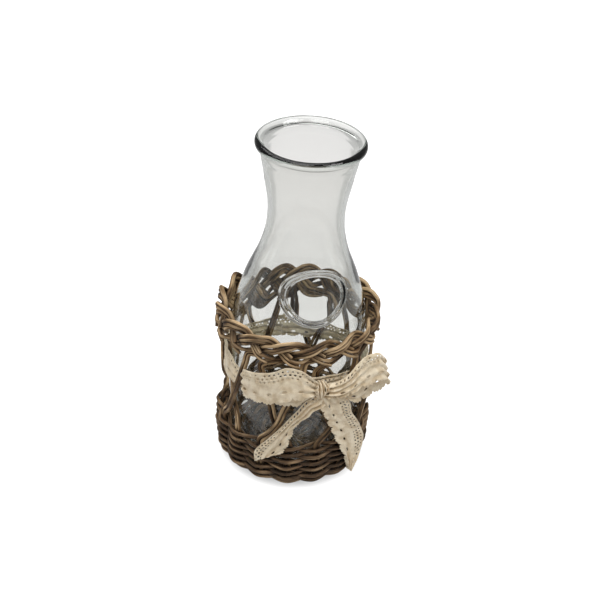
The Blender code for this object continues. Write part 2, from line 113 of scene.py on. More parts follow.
def smooth_rows(values: np.ndarray, places: np.ndarray, spacing: float) -> np.ndarray:
    """Run a smooth curve through rows of values, by a centripetal Catmull-Rom spline.

    Args:
        values: one row of values for each knot.
        places: where each knot is, used only to space the curve.
        spacing: wanted distance between the rows returned, in the unit of places.

    Returns:
        Rows of values along the curve, the first and last knots among them.
    """
    values = np.vstack([2 * values[0] - values[1], values, 2 * values[-1] - values[-2]])
    places = np.vstack([2 * places[0] - places[1], places, 2 * places[-1] - places[-2]])
    steps = np.linalg.norm(np.diff(places, axis=0), axis=1)
    times = np.concatenate([[0.0], np.cumsum(np.sqrt(np.maximum(steps, 1e-6)))])
    rows = []
    for index in range(1, len(values) - 2):
        t0, t1, t2, t3 = times[index - 1:index + 3]
        p0, p1, p2, p3 = values[index - 1:index + 3]
        count = max(1, math.ceil(steps[index] / spacing))
        for t in np.linspace(t1, t2, count, endpoint=False):
            a1 = p0 + (p1 - p0) * (t - t0) / (t1 - t0)
            a2 = p1 + (p2 - p1) * (t - t1) / (t2 - t1)
            a3 = p2 + (p3 - p2) * (t - t2) / (t3 - t2)
            b1 = a1 + (a2 - a1) * (t - t0) / (t2 - t0)
            b2 = a2 + (a3 - a2) * (t - t1) / (t3 - t1)
            rows.append(b1 + (b2 - b1) * (t - t1) / (t2 - t1))
    rows.append(values[-2])
    return np.array(rows)


def publish(name: str, mesh: bpy.types.Mesh, body: Body, node: str, slot: Slot,
            material: bpy.types.Material) -> bpy.types.Object:
    """Put a finished mesh into the scene as a piece that stands for a CAD node.

    Args:
        name: name of the piece.
        mesh: its mesh, in place, in metres.
        body: the CAD body that it moves with.
        node: the CAD node that it stands for.
        slot: the record's material slot; not used.
        material: its material.

    Returns:
        The new object.
    """
    mesh.name = name
    mesh.materials.clear()
    mesh.materials.append(material)
    mesh.shade_smooth()
    piece = bpy.data.objects.new(name, mesh)
    bpy.context.scene.collection.objects.link(piece)
    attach(piece, body.value)
    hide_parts(node)
    log.info("%s: %d faces, stands for %s on %s", name, len(mesh.polygons), node, body.value)
    return piece


def mark_hollows(pieces: list[bpy.types.Object], among: list[bpy.types.Object], reach: float,
                 both_sides: bool = False, rays: int = 12) -> None:
    """Store on each vertex how open its surroundings are, from 0 in a hollow to 1.

    The finishes use it for painted shade, darker in the hollows where shade falls.

    Args:
        pieces: pieces whose vertices get the attribute "open".
        among: pieces that can stand in the way.
        reach: how far something in the way counts, mm.
        both_sides: whether the more open side of a sheet counts.
        rays: directions tried round each vertex.
    """
    points, faces = [], []
    for piece in among:
        first = len(points)
        points += [vert.co.copy() for vert in piece.data.vertices]
        faces += [[first + corner for corner in face.vertices] for face in piece.data.polygons]
    tree = BVHTree.FromPolygons(points, faces)
    golden = math.pi * (3.0 - math.sqrt(5.0))
    spread = []
    for number in range(rays):
        up = math.sqrt((number + 0.5) / rays)
        flat = math.sqrt(1.0 - up * up)
        spread.append((flat * math.cos(number * golden), flat * math.sin(number * golden), up))
    far = reach * MM
    for piece in pieces:
        values = []
        for vert in piece.data.vertices:
            best = 0.0
            for way in (1.0, -1.0) if both_sides else (1.0,):
                normal = vert.normal * way
                side = normal.orthogonal().normalized()
                other = normal.cross(side)
                start = vert.co + normal * 0.25 * MM
                total = 0.0
                for x, y, z in spread:
                    hit = tree.ray_cast(start, side * x + other * y + normal * z, far)
                    total += 1.0 if hit[0] is None else hit[3] / far
                best = max(best, total / rays)
            values.append(best)
        layer = piece.data.attributes.new("open", "FLOAT", "POINT")
        layer.data.foreach_set("value", np.array(values, dtype=np.float32))


class Tree:
    """Short way to add and join the nodes of a material or a node group."""

    def __init__(self, tree: bpy.types.NodeTree) -> None:
        """Start on a node tree."""
        self.tree = tree

    def feed(self, node: bpy.types.Node, inputs: dict) -> None:
        """Give a node's inputs their values.

        Args:
            node: the node.
            inputs: socket names or numbers with a value, or an output socket to join.
        """
        for key, value in inputs.items():
            if isinstance(value, bpy.types.NodeSocket):
                self.tree.links.new(value, node.inputs[key])
            else:
                node.inputs[key].default_value = value

    def add(self, kind: str, inputs: dict | None = None, **settings) -> bpy.types.Node:
        """Add a node.

        Args:
            kind: the node's type without the ShaderNode prefix, or the full type of a group node.
            inputs: values or output sockets for its inputs.
            **settings: properties of the node.

        Returns:
            The new node.
        """
        full = kind if kind.startswith("NodeGroup") else "ShaderNode" + kind
        node = self.tree.nodes.new(full)
        for name, value in settings.items():
            setattr(node, name, value)
        self.feed(node, inputs or {})
        return node

    def ramp(self, factor: bpy.types.NodeSocket, stops: list[tuple]) -> bpy.types.NodeSocket:
        """Add a colour ramp.

        Args:
            factor: the socket that drives it.
            stops: pairs of a place and a colour.

        Returns:
            The ramp's colour socket.
        """
        node = self.add("ValToRGB", {"Fac": factor})
        marks = node.color_ramp.elements
        while len(marks) < len(stops):
            marks.new(0.5)
        for mark, (place, colour) in zip(marks, stops):
            mark.position = place
            mark.color = (*colour, 1.0)
        return node.outputs["Color"]

    def mix(self, factor: object, first: object, second: object,
            way: str = "MIX") -> bpy.types.NodeSocket:
        """Mix two colours.

        Args:
            factor: share of the second colour, a number or a socket.
            first: colour or socket.
            second: colour or socket.
            way: how they are mixed.

        Returns:
            The socket of the mixed colour.
        """
        node = self.add("Mix", data_type="RGBA", blend_type=way)
        self.feed(node, {0: factor, 6: first, 7: second})
        return node.outputs[2]

    def sums(self, way: str, first: object, second: object) -> bpy.types.NodeSocket:
        """Do one sum on two numbers and return the result's socket."""
        return self.add("Math", {0: first, 1: second}, operation=way).outputs[0]

    def span(self, value: bpy.types.NodeSocket, places: tuple,
             results: tuple) -> bpy.types.NodeSocket:
        """Map a value from one range to another, held at both ends.

        Args:
            value: the socket of the value.
            places: where the range starts and ends.
            results: what comes out there.

        Returns:
            The result's socket.
        """
        return self.add("MapRange", {"Value": value, "From Min": places[0],
                                     "From Max": places[1], "To Min": results[0],
                                     "To Max": results[1]}).outputs[0]

    def noise(self, place: bpy.types.NodeSocket, scale: float, detail: float,
              roughness: float = 0.5, dimensions: str = "3D") -> bpy.types.NodeSocket:
        """Add a cloudy noise.

        Args:
            place: the socket of its coordinates.
            scale: clouds per unit of those coordinates.
            detail: how many finer layers lie on it.
            roughness: how strong the finer layers are.
            dimensions: "2D" or "3D".

        Returns:
            The socket of its value, from 0 to 1.
        """
        return self.add("TexNoise", {"Vector": place, "Scale": scale, "Detail": detail,
                                     "Roughness": roughness},
                        noise_dimensions=dimensions).outputs[0]

    def stretched(self, place: bpy.types.NodeSocket, scale: tuple) -> bpy.types.NodeSocket:
        """Scale coordinates along their axes."""
        return self.add("Mapping", {"Vector": place, "Scale": scale}).outputs[0]

    def bump(self, height: bpy.types.NodeSocket, distance: float) -> bpy.types.NodeSocket:
        """Bend the normals after a height, which is worth a distance in metres."""
        return self.add("Bump", {"Height": height, "Distance": distance,
                                 "Strength": 1.0}).outputs[0]


def new_material(name: str) -> tuple:
    """Start a material and return it with a Tree on it and its main shader."""
    material = bpy.data.materials.new(name)
    material.use_nodes = True
    tree = Tree(material.node_tree)
    return material, tree, material.node_tree.nodes["Principled BSDF"]


# Finishes


@dataclass(frozen=True)
class GlassFinish:
    """Clear pressed glass, a little green where it is seen through its thickness."""

    tint: tuple = (0.905, 0.893, 0.880)
    index: float = 1.5
    roughness: float = 0.015
    depth_tint: tuple = (0.36, 0.50, 0.42)
    depth_density: float = 30.0
    ripple: float = 0.00009
    ripple_scale: tuple = (26.0, 26.0, 9.0)
    shadow: tuple = (0.93, 0.93, 0.93)

    def material(self) -> bpy.types.Material:
        """Make the material."""
        material, tree, shader = new_material("pressed_glass")
        place = tree.stretched(tree.add("TexCoord").outputs["Object"], self.ripple_scale)
        tree.feed(shader, {"Base Color": (*self.tint, 1.0), "Roughness": self.roughness,
                           "IOR": self.index, "Transmission Weight": 1.0,
                           "Normal": tree.bump(tree.noise(place, 1.0, 1.5), self.ripple)})
        path = tree.add("LightPath").outputs["Is Shadow Ray"]
        clear = tree.add("BsdfTransparent", {"Color": (*self.shadow, 1.0)}).outputs[0]
        mixed = tree.add("MixShader", {0: path, 1: shader.outputs[0], 2: clear})
        depth = tree.add("VolumeAbsorption", {"Color": (*self.depth_tint, 1.0),
                                              "Density": self.depth_density})
        tree.feed(material.node_tree.nodes["Material Output"],
                  {"Surface": mixed.outputs[0], "Volume": depth.outputs[0]})
        return material


def grain_group() -> bpy.types.NodeTree:
    """Make the grain that every rod shares: long streaks, patches of weather and small flecks.

    Returns:
        A node group with outputs Streak, Patch, Fleck and Height.
    """
    group = bpy.data.node_groups.new("rod_grain", "ShaderNodeTree")
    for label in ("Streak", "Patch", "Fleck", "Height"):
        group.interface.new_socket(label, in_out="OUTPUT", socket_type="NodeSocketFloat")
    tree = Tree(group)
    place = tree.add("UVMap", uv_map="UVMap").outputs[0]
    streak = tree.noise(tree.stretched(place, (42.0, 760.0, 1.0)), 1.0, 4.0, 0.6, "2D")
    patch = tree.noise(tree.stretched(place, (52.0, 190.0, 1.0)), 1.0, 2.5, 0.5, "2D")
    fleck = tree.noise(tree.stretched(place, (420.0, 900.0, 1.0)), 1.0, 2.0, 0.5, "2D")
    height = tree.sums("ADD", tree.sums("MULTIPLY", streak, 0.75),
                       tree.sums("MULTIPLY", fleck, 0.35))
    tree.feed(tree.add("NodeGroupOutput"),
              {"Streak": streak, "Patch": patch, "Fleck": fleck, "Height": height})
    return group


@dataclass(frozen=True)
class WickerFinish:
    """Weathered rods: brown bark, worn to tan where it is rubbed, dark in its grain, with painted
    shade in their hollows and a painted highlight on their most open places.
    """

    name: str
    dark: tuple = (0.048, 0.028, 0.013)
    bark: tuple = (0.163, 0.101, 0.049)
    worn: tuple = (0.470, 0.338, 0.196)
    rust: tuple = (0.270, 0.135, 0.050)
    rust_share: float = 0.20
    roughness: tuple = (0.82, 0.50)
    specular: float = 0.35
    relief: float = 0.00026

    def material(self, grain: bpy.types.NodeTree) -> bpy.types.Material:
        """Make the material on the shared grain."""
        material, tree, shader = new_material(self.name)
        marks = tree.add("Group", node_tree=grain)
        tone = tree.add("Attribute", attribute_name="tone").outputs["Fac"]
        shifted = tree.sums("ADD", marks.outputs["Patch"], tone)
        broad = tree.ramp(shifted, [(0.36, self.dark), (0.50, self.bark), (0.68, self.worn)])
        rusty = tree.ramp(marks.outputs["Fleck"], [(0.44, (0.0, 0.0, 0.0)),
                                                   (0.70, (1.0, 1.0, 1.0))])
        share = tree.sums("MULTIPLY", rusty, self.rust_share)
        warm = tree.mix(share, broad, (*self.rust, 1.0))
        lines = tree.ramp(marks.outputs["Streak"], [(0.30, (0.42, 0.40, 0.38)),
                                                    (0.52, (1.0, 1.0, 1.0)),
                                                    (0.74, (1.35, 1.30, 1.22))])
        unshaded_colour = tree.mix(1.0, warm, lines, "MULTIPLY")
        # Painted shade: the colour darkens where other pieces hem the rod in; where it is most
        # open it is lightened, partly real wear and partly a painted highlight.
        free = tree.add("Attribute", attribute_name="open").outputs["Fac"]
        painted_shade_and_highlight = tree.ramp(free, [(0.25, (0.05, 0.036, 0.024)), (0.55, (0.35, 0.30, 0.25)),
                                (0.84, (0.92, 0.90, 0.88)), (1.0, (1.18, 1.18, 1.18))])
        colour = tree.mix(1.0, unshaded_colour, painted_shade_and_highlight, "MULTIPLY")
        tree.feed(shader, {
            "Base Color": colour, "Specular IOR Level": self.specular,
            "Roughness": tree.span(marks.outputs["Streak"], (0.0, 1.0), self.roughness),
            "Normal": tree.bump(marks.outputs["Height"], self.relief)})
        return material


@dataclass(frozen=True)
class LaceFinish:
    """Unbleached cotton: fine threads, a little fuzz and uneven cream, with painted shade in its
    folds.
    """

    pale: tuple = (0.95, 0.832, 0.642)
    deep: tuple = (0.705, 0.565, 0.380)
    thread_pitch: float = 0.62
    thread_share: float = 0.32
    roughness: tuple = (0.78, 0.96)
    relief: float = 0.00016

    def material(self) -> bpy.types.Material:
        """Make the material."""
        material, tree, shader = new_material("lace_cotton")
        place = tree.add("UVMap", uv_map="UVMap").outputs[0]
        apart = tree.add("SeparateXYZ", {0: place})
        turns = 2 * math.pi / (self.thread_pitch * MM)
        waves = [tree.add("Math", {0: tree.sums("MULTIPLY", apart.outputs[axis], turns)},
                          operation="SINE").outputs[0] for axis in (0, 1)]
        weave = tree.sums("MULTIPLY", waves[0], waves[1])
        fuzz = tree.noise(place, 2600.0, 3.0, 0.7)
        cloud = tree.noise(place, 160.0, 3.0)
        base = tree.ramp(cloud, [(0.34, self.deep), (0.62, self.pale)])
        shade = tree.ramp(fuzz, [(0.30, (0.80, 0.78, 0.74)), (0.62, (1.04, 1.04, 1.03))])
        unshaded_colour = tree.mix(1.0, base, shade, "MULTIPLY")
        # Painted shade: tan darkening in the lace's folds and where it lies close to the rods.
        free = tree.add("Attribute", attribute_name="open").outputs["Fac"]
        fold = tree.ramp(free, [(0.15, (0.42, 0.31, 0.19)), (0.50, (0.82, 0.74, 0.62)),
                                (0.85, (1.0, 1.0, 1.0))])
        raised = tree.sums("ADD", tree.sums("MULTIPLY", weave, self.thread_share), fuzz)
        tree.feed(shader, {
            "Base Color": tree.mix(1.0, unshaded_colour, fold, "MULTIPLY"), "Sheen Weight": 0.25,
            "Sheen Roughness": 0.5, "Specular IOR Level": 0.2,
            "Roughness": tree.span(fuzz, (0.0, 1.0), self.roughness),
            "Normal": tree.bump(raised, self.relief)})
        return material


# Studio


@dataclass
class Studio:
    """Floor, lights and camera.

    The floor looks white. The glass is lit by a pale strip on it, which starts below the object,
    runs away from the camera and widens on its way.
    """

    camera_out: float = 720.0
    camera_turn: float = -14.0
    camera_up: float = 609.7
    pitch: float = 33.69
    roll: float = 4.10
    lens: float = 73.15
    aim_height: float = 120.0
    sky: tuple = (0.24, 0.24, 0.24, 1.0)
    backdrop: tuple = (0.97, 0.97, 0.97, 1.0)
    through_share: float = 0.30
    floor_radius: float = 1800.0
    floor_glow: float = 0.88
    floor_white: tuple = (1.0, 1.0, 1.0, 1.0)
    floor_grey: tuple = (0.24, 0.24, 0.24, 1.0)
    strip_half: float = 78.0
    strip_spread: float = 0.03
    strip_fade: float = 1.3
    strip_start: tuple = (-50.0, 0.0)
    strip_far: tuple = (240.0, 400.0)
    strip_near_tone: tuple = (0.71, 0.71, 0.72, 1.0)
    strip_far_tone: tuple = (0.592, 0.582, 0.586, 1.0)
    softboxes: tuple = (("overhead", (-350.0, 300.0, 1500.0), 1600.0, 15.0),
                        ("left", (-600.0, -800.0, 1600.0), 1000.0, 9.5),
                        ("right", (800.0, -700.0, 1550.0), 900.0, 13.0))

    def build(self) -> None:
        """Make the floor, lights, sky and camera."""
        self.lay_floor()
        self.set_sky()
        for name, place, size, power in self.softboxes:
            self.hang_softbox(name, Vector(place) * MM, size * MM, power)
        self.set_camera()
        bpy.context.scene.view_settings.view_transform = "Standard"

    def lay_floor(self) -> None:
        """Lay a round floor."""
        work = bmesh.new()
        bmesh.ops.create_circle(work, cap_ends=True, segments=96, radius=self.floor_radius * MM)
        mesh = bpy.data.meshes.new("floor")
        work.to_mesh(mesh)
        work.free()
        mesh.materials.append(self.floor_material())
        floor = bpy.data.objects.new("floor", mesh)
        bpy.context.scene.collection.objects.link(floor)

    def floor_material(self) -> bpy.types.Material:
        """Make the floor's material: a painted shadow under the object, white to the eye, a strip
        to glass.
        """
        material, tree, shader = new_material("pale_floor")
        place = tree.add("TexCoord").outputs["Object"]
        away = tree.add("VectorMath", {0: place}, operation="LENGTH").outputs["Value"]
        # Under the object the floor has no glow, and its colour is darkened there as a painted
        # shadow.
        glow = tree.ramp(away, [(0.035, (0.0, 0.0, 0.0)), (0.055, (1.0, 1.0, 1.0))])
        base = tree.ramp(away, [(0.046, (0.06, 0.06, 0.06)), (0.060, (0.45, 0.45, 0.45))])
        turned = tree.add("Mapping", {"Vector": place,
                                      "Rotation": (0.0, 0.0, math.radians(-self.camera_turn))})
        aside, along = tree.add("SeparateXYZ", {0: turned.outputs[0]}).outputs[:2]
        half = tree.sums("ADD", tree.sums("MULTIPLY", along, self.strip_spread),
                         self.strip_half * MM)
        share = tree.sums("DIVIDE", tree.sums("ABSOLUTE", aside, 0.0),
                          tree.sums("MAXIMUM", half, 0.05))
        middle = tree.span(share, (1.0, self.strip_fade), (1.0, 0.0))
        behind = tree.span(along, [edge * MM for edge in self.strip_start], (0.0, 1.0))
        far = tree.span(along, [edge * MM for edge in self.strip_far], (0.0, 1.0))
        lit = tree.mix(far, self.strip_near_tone, self.strip_far_tone)
        strip = tree.mix(middle, self.floor_grey, tree.mix(behind, self.floor_grey, lit))
        seen = tree.add("LightPath").outputs["Is Camera Ray"]
        light = tree.mix(1.0, glow, tree.mix(seen, strip, self.floor_white), "MULTIPLY")
        tree.feed(shader, {"Base Color": base, "Roughness": 0.8, "Specular IOR Level": 0.1,
                           "Emission Color": light, "Emission Strength": self.floor_glow})
        return material

    def set_sky(self) -> None:
        """Make a grey sky that looks white, and is paler where it is seen through glass."""
        world = bpy.data.worlds.new("studio")
        bpy.context.scene.world = world
        world.use_nodes = True
        tree = Tree(world.node_tree)
        path = tree.add("LightPath")
        through = tree.sums("MULTIPLY", path.outputs["Is Transmission Ray"], self.through_share)
        seen = tree.sums("MAXIMUM", path.outputs["Is Camera Ray"], through)
        tree.feed(world.node_tree.nodes["Background"],
                  {"Color": tree.mix(seen, self.sky, self.backdrop)})

    def hang_softbox(self, name: str, place: Vector, size: float, power: float) -> None:
        """Hang one square light that looks at the middle of the object.

        Args:
            name: its name.
            place: where it hangs, in metres.
            size: length of its sides in metres.
            power: its power in watts.
        """
        lamp = bpy.data.lights.new(name, "AREA")
        lamp.shape = "SQUARE"
        lamp.size = size
        lamp.energy = power
        owner = bpy.data.objects.new(name, lamp)
        owner.location = place
        aim = Vector((0.0, 0.0, self.aim_height * MM)) - place
        owner.rotation_euler = aim.to_track_quat("-Z", "Y").to_euler()
        bpy.context.scene.collection.objects.link(owner)

    def set_camera(self) -> None:
        """Set the camera where the photograph was taken from."""
        data = bpy.data.cameras.new("camera")
        data.lens = self.lens
        data.sensor_width = 36.0
        data.clip_start = 0.01
        camera = bpy.data.objects.new("camera", data)
        bpy.context.scene.collection.objects.link(camera)
        turned = (Matrix.Rotation(math.radians(self.camera_turn), 4, "Z")
                  @ Matrix.Rotation(math.radians(90.0 - self.pitch), 4, "X")
                  @ Matrix.Rotation(math.radians(self.roll), 4, "Z"))
        place = polar(self.camera_out, self.camera_turn, self.camera_up)
        camera.matrix_world = Matrix.Translation(place) @ turned
        bpy.context.scene.camera = camera


# Glass carafe


@dataclass
class Carafe:
    """Pressed glass carafe: round body, waisted neck, rolled rim and a round seal."""

    foot: float = 9.1
    wall: float = 3.0
    floor_wall: float = 5.0
    inner_heel: float = 7.0
    outer_heel: float = 9.0
    steps: int = 240
    row_step: float = 2.5
    inner_floor: tuple = ((0.0, 7.5), (12.0, 7.3), (24.0, 6.4), (33.0, 5.3))
    underside: tuple = ((39.6, 0.1), (38.5, 0.0), (37.2, 0.15), (35.5, 0.6), (28.0, 1.6),
                        (14.0, 2.3), (0.0, 2.5))
    sides: tuple = ((26.0, 48.3), (60.0, 48.3), (95.0, 48.3), (110.0, 48.3), (118.0, 47.8),
                    (126.0, 46.8), (135.0, 44.9), (145.0, 42.1), (154.0, 39.1), (160.0, 36.7),
                    (164.5, 34.8), (169.0, 32.9), (174.0, 31.1), (178.8, 29.7), (183.5, 28.5),
                    (188.0, 27.6), (193.0, 26.95), (202.0, 26.5), (211.6, 27.1), (216.0, 27.8),
                    (221.0, 28.7), (225.0, 29.5), (230.0, 30.3), (234.0, 31.0), (239.0, 32.0),
                    (244.0, 33.0))
    shoulder_wall: float = 1.0
    shoulder_height: float = 146.0
    shoulder_reach: float = 16.0
    wall_play: float = 0.6
    throat_top: float = 241.0
    lip_spacing: float = 0.55
    lip: tuple = ((29.9, 246.5), (29.95, 249.0), (30.3, 251.6), (31.2, 254.0), (32.8, 255.7),
                  (34.6, 256.5), (36.2, 256.0), (37.15, 254.6), (37.3, 253.2), (36.9, 251.9),
                  (35.8, 251.0), (34.6, 250.5), (33.8, 249.4), (33.4, 247.6), (33.1, 245.6))
    seal_height: float = 155.6
    seal_turn: float = 2.0
    seal_wide: float = 24.0
    seal_tall: float = 20.1
    seal_band: float = 24.0
    seal_spacing: float = 0.75
    seal_cuts: int = 2
    seal_dome: float = 0.8
    seal_field: float = 0.78
    seal_margin: float = 0.04
    seal_ridges: tuple = ((0.925, 0.08, 1.4), (0.81, 0.05, 0.75))
    ridge_power: float = 1.4

    def outside(self) -> np.ndarray:
        """Rows of radius and height of the outer wall, from the heel to the throat."""
        knots = np.array([(radius, height) for height, radius in self.sides])
        coarse = smooth_rows(knots, knots, 1.0)
        heights = []
        height = self.sides[0][0]
        while height < self.sides[-1][0]:
            heights.append(height)
            near = abs(height - self.seal_height) < self.seal_band + 2.0
            height += self.seal_spacing if near else self.row_step
        heights.append(self.sides[-1][0])
        return np.array([(np.interp(h, coarse[:, 1], coarse[:, 0]), h) for h in heights])

    def profile(self) -> list[tuple]:
        """Half section from the middle of the inner floor over the lip to the foot.

        Returns:
            The points as pairs of radius and height.
        """
        outer = self.outside()
        side = self.sides[0][1]
        inner = [(radius, self.foot + rise) for radius, rise in self.inner_floor]
        middle = self.foot + self.floor_wall + self.inner_heel
        inner += arc(side - self.wall - self.inner_heel, middle, self.inner_heel,
                     range(-90, 1, 10))
        rows = outer[outer[:, 1] > middle + 2.0][::2]
        slope = np.gradient(rows[:, 0], rows[:, 1])
        for (radius, height), lean in zip(rows, slope):
            if height > self.throat_top:
                break
            upright = 1 / math.hypot(1.0, lean)
            thick = self.wall + self.shoulder_wall * math.exp(
                -((height - self.shoulder_height) / self.shoulder_reach) ** 2)
            inner.append((radius - thick * upright, height + thick * lean * upright))
        route = np.array(inner[-2:] + list(self.lip) + [tuple(outer[-1]), tuple(outer[-2])])
        lip = [tuple(row) for row in smooth_rows(route, route, self.lip_spacing)]
        first = min(index for index, row in enumerate(lip) if row[1] > inner[-1][1] + 0.4)
        last = max(index for index, row in enumerate(lip) if row[1] > outer[-1][1] + 0.3)
        wall = [tuple(row) for row in outer[::-1]]
        heel = arc(side - self.outer_heel, self.foot + self.outer_heel, self.outer_heel,
                   range(0, -81, -10))
        base = [(radius, self.foot + rise) for radius, rise in self.underside]
        return inner + lip[first:last + 1] + wall + heel + base

    def build(self, material: bpy.types.Material) -> None:
        """Turn the section, press the seal and publish the piece."""
        work = bmesh.new()
        profile = self.profile()
        sections = [[work.verts.new(polar(radius, 360.0 * turn / self.steps, height))
                     for radius, height in profile] for turn in range(self.steps)]
        for section, beside in zip(sections, sections[1:] + sections[:1]):
            for corners in zip(section, section[1:], beside[1:], beside):
                work.faces.new(corners)
        bmesh.ops.remove_doubles(work, verts=work.verts, dist=SAME_PLACE)
        bmesh.ops.recalc_face_normals(work, faces=work.faces)
        self.press_seal(work)
        mesh = bpy.data.meshes.new("carafe")
        work.to_mesh(mesh)
        work.free()
        publish("pressed_carafe", mesh, Body.CARAFE, "glass_carafe", Slot.GLASS, material)

    def press_seal(self, work: bmesh.types.BMesh) -> None:
        """Split the faces round the seal and raise its rings and its field from the wall."""
        outer = self.outside()
        steps = np.hypot(np.diff(outer[:, 0]), np.diff(outer[:, 1]))
        lengths = np.concatenate([[0.0], np.cumsum(steps)])
        centre = np.interp(self.seal_height, outer[:, 1], lengths)
        square = Matrix.Rotation(math.radians(-self.seal_turn), 3, "Z")
        reach = max(middle + half for middle, half, _ in self.seal_ridges) + self.seal_margin

        def share_out(vert: bmesh.types.BMVert) -> float:
            """Share of the way from the seal's middle to its edge, or 9 off the outer wall."""
            height = vert.co.z / MM
            if abs(height - self.seal_height) > self.seal_band or vert.co.y > 0.0:
                return 9.0
            point = square @ vert.co / MM
            wanted = np.interp(height, outer[:, 1], outer[:, 0])
            if abs(math.hypot(point.x, point.y) - wanted) >= self.wall_play:
                return 9.0
            up = np.interp(point.z, outer[:, 1], lengths) - centre
            return math.hypot(point.x / self.seal_wide, up / self.seal_tall)

        faces = [face for face in work.faces if all(share_out(v) < reach for v in face.verts)]
        edges = list(dict.fromkeys(edge for face in faces for edge in face.edges))
        bmesh.ops.subdivide_edges(work, edges=edges, cuts=self.seal_cuts, use_grid_fill=True)
        work.normal_update()
        moves = []
        for vert in work.verts:
            away = share_out(vert)
            if away >= reach:
                continue
            rise = self.seal_dome * max(0.0, 1.0 - (away / self.seal_field) ** 2)
            for middle, half, tall in self.seal_ridges:
                share = abs(away - middle) / half
                if share < 1.0:
                    rise = max(rise, tall * math.cos(share * math.pi / 2) ** self.ridge_power)
            moves.append((vert, vert.normal * rise * MM))
        for vert, move in moves:
            vert.co += move


# Basket


@dataclass(frozen=True)
class Knot:
    """Point that a rod runs through, with the way that the basket's surface faces there.

    The rods of a pair lie half apart from it on either side, and swell makes them thicker.
    """

    radius: float
    angle: float
    height: float
    half: float = 0.0
    out: float = 1.0
    up: float = 0.0
    swell: float = 1.0


@dataclass
class RodWork:
    """Rods gathered into one mesh, each with its own tone and place in the grain."""

    sides: int = 2
    seed: int = 1
    spacing: float = 1.8
    shade: float = 0.0
    shade_spread: float = 0.06
    tone_step_height: float = 102.0
    tone_step_reach: float = 14.0
    tone_step: float = 0.045
    swell: float = 0.07
    bud: float = 0.12
    meshes: list = field(default_factory=list)

    def __post_init__(self) -> None:
        """Start the chances of this set of rods."""
        self.chance = random.Random(self.seed)

    def lay(self, knots: list[Knot], side: float, butt: float, tip: float,
            wobble: float) -> None:
        """Bend one rod through its knots.

        Args:
            knots: the middle route of the rod or of its pair.
            side: -1 or 1 for the rods of a pair, 0 for a single rod.
            butt: diameter at the start.
            tip: diameter at the end.
            wobble: how far the rod strays from its route.
        """
        values = np.array([astuple(knot) for knot in knots])
        places = np.array([polar(*row[:3]) / MM for row in values])
        rows = smooth_rows(values, places, self.spacing)
        points = [polar(*row[:3]) for row in rows]
        seed = Vector((self.chance.uniform(0, 50), self.chance.uniform(0, 50), 0.0))
        last = len(points) - 1
        route, widths = [], []
        for index, (point, row) in enumerate(zip(points, rows)):
            half, out, up, thicker = row[3:]
            ahead = (points[min(index + 1, last)] - points[max(index - 1, 0)]).normalized()
            flat = Vector((point.x, point.y, 0.0)).normalized()
            facing = Vector((flat.x * out, flat.y * out, up)).normalized()
            across = facing.cross(ahead).normalized()
            stray = noise.noise_vector(point * 40.0 + seed) * wobble * MM
            route.append(point + across * side * half * MM + stray)
            swell = 1.0 + self.swell * noise.noise(point * 90.0 + seed)
            bud = 1.0 + self.bud * max(0.0, noise.noise(point * 44.0 + seed * 1.7)) ** 2
            widths.append((butt + (tip - butt) * index / last) / 2 * swell * bud * thicker)
        self.meshes.append(self.tube(route, widths))

    def tube(self, route: list[Vector], widths: list[float]) -> bpy.types.Mesh:
        """Make a round rod with its tone and a UV map in metres, along it and around it.

        Args:
            route: points along its middle, in metres.
            widths: its half width at each of them, mm.

        Returns:
            Its mesh.
        """
        curve = bpy.data.curves.new("rod", "CURVE")
        curve.dimensions = "3D"
        curve.bevel_depth = MM
        curve.bevel_resolution = self.sides
        curve.use_fill_caps = True
        spline = curve.splines.new("POLY")
        spline.points.add(len(route) - 1)
        for knot, point, width in zip(spline.points, route, widths):
            knot.co = (*point, 1.0)
            knot.radius = width
        owner = bpy.data.objects.new("rod", curve)
        mesh = bpy.data.meshes.new_from_object(owner)
        bpy.data.objects.remove(owner)
        bpy.data.curves.remove(curve)
        length = sum((b - a).length for a, b in zip(route, route[1:]))
        layer = mesh.uv_layers[0]
        layer.name = "UVMap"
        flat = np.empty(len(layer.data) * 2, dtype=np.float32)
        layer.data.foreach_get("uv", flat)
        flat[0::2] = flat[0::2] * length + self.chance.uniform(0.0, 9.0)
        flat[1::2] = flat[1::2] * math.pi * 2 * max(widths) * MM + self.chance.uniform(0.0, 3.0)
        layer.data.foreach_set("uv", flat)
        shade = self.chance.gauss(self.shade, self.shade_spread)
        # Tone rises with height: rods are lighter high on the basket and darker low on it.
        over = np.array([vert.co.z / MM - self.tone_step_height for vert in mesh.vertices])
        worn = shade + self.tone_step * np.clip(over / self.tone_step_reach, -1.0, 1.0)
        tone = mesh.attributes.new("tone", "FLOAT", "POINT")
        tone.data.foreach_set("value", worn.astype(np.float32))
        return mesh

    def publish(self, node: str, look: bpy.types.Material) -> bpy.types.Object:
        """Join the rods into one mesh on the floor and publish it as a node of the basket."""
        work = bmesh.new()
        for mesh in self.meshes:
            work.from_mesh(mesh)
            bpy.data.meshes.remove(mesh)
        bmesh.ops.remove_doubles(work, verts=work.verts, dist=SAME_PLACE)
        for vert in work.verts:
            vert.co.z = max(vert.co.z, 0.0)
        result = bpy.data.meshes.new("rods")
        work.to_mesh(result)
        work.free()
        return publish("rod_" + node, result, Body.BASKET, node, Slot.WICKER, look)


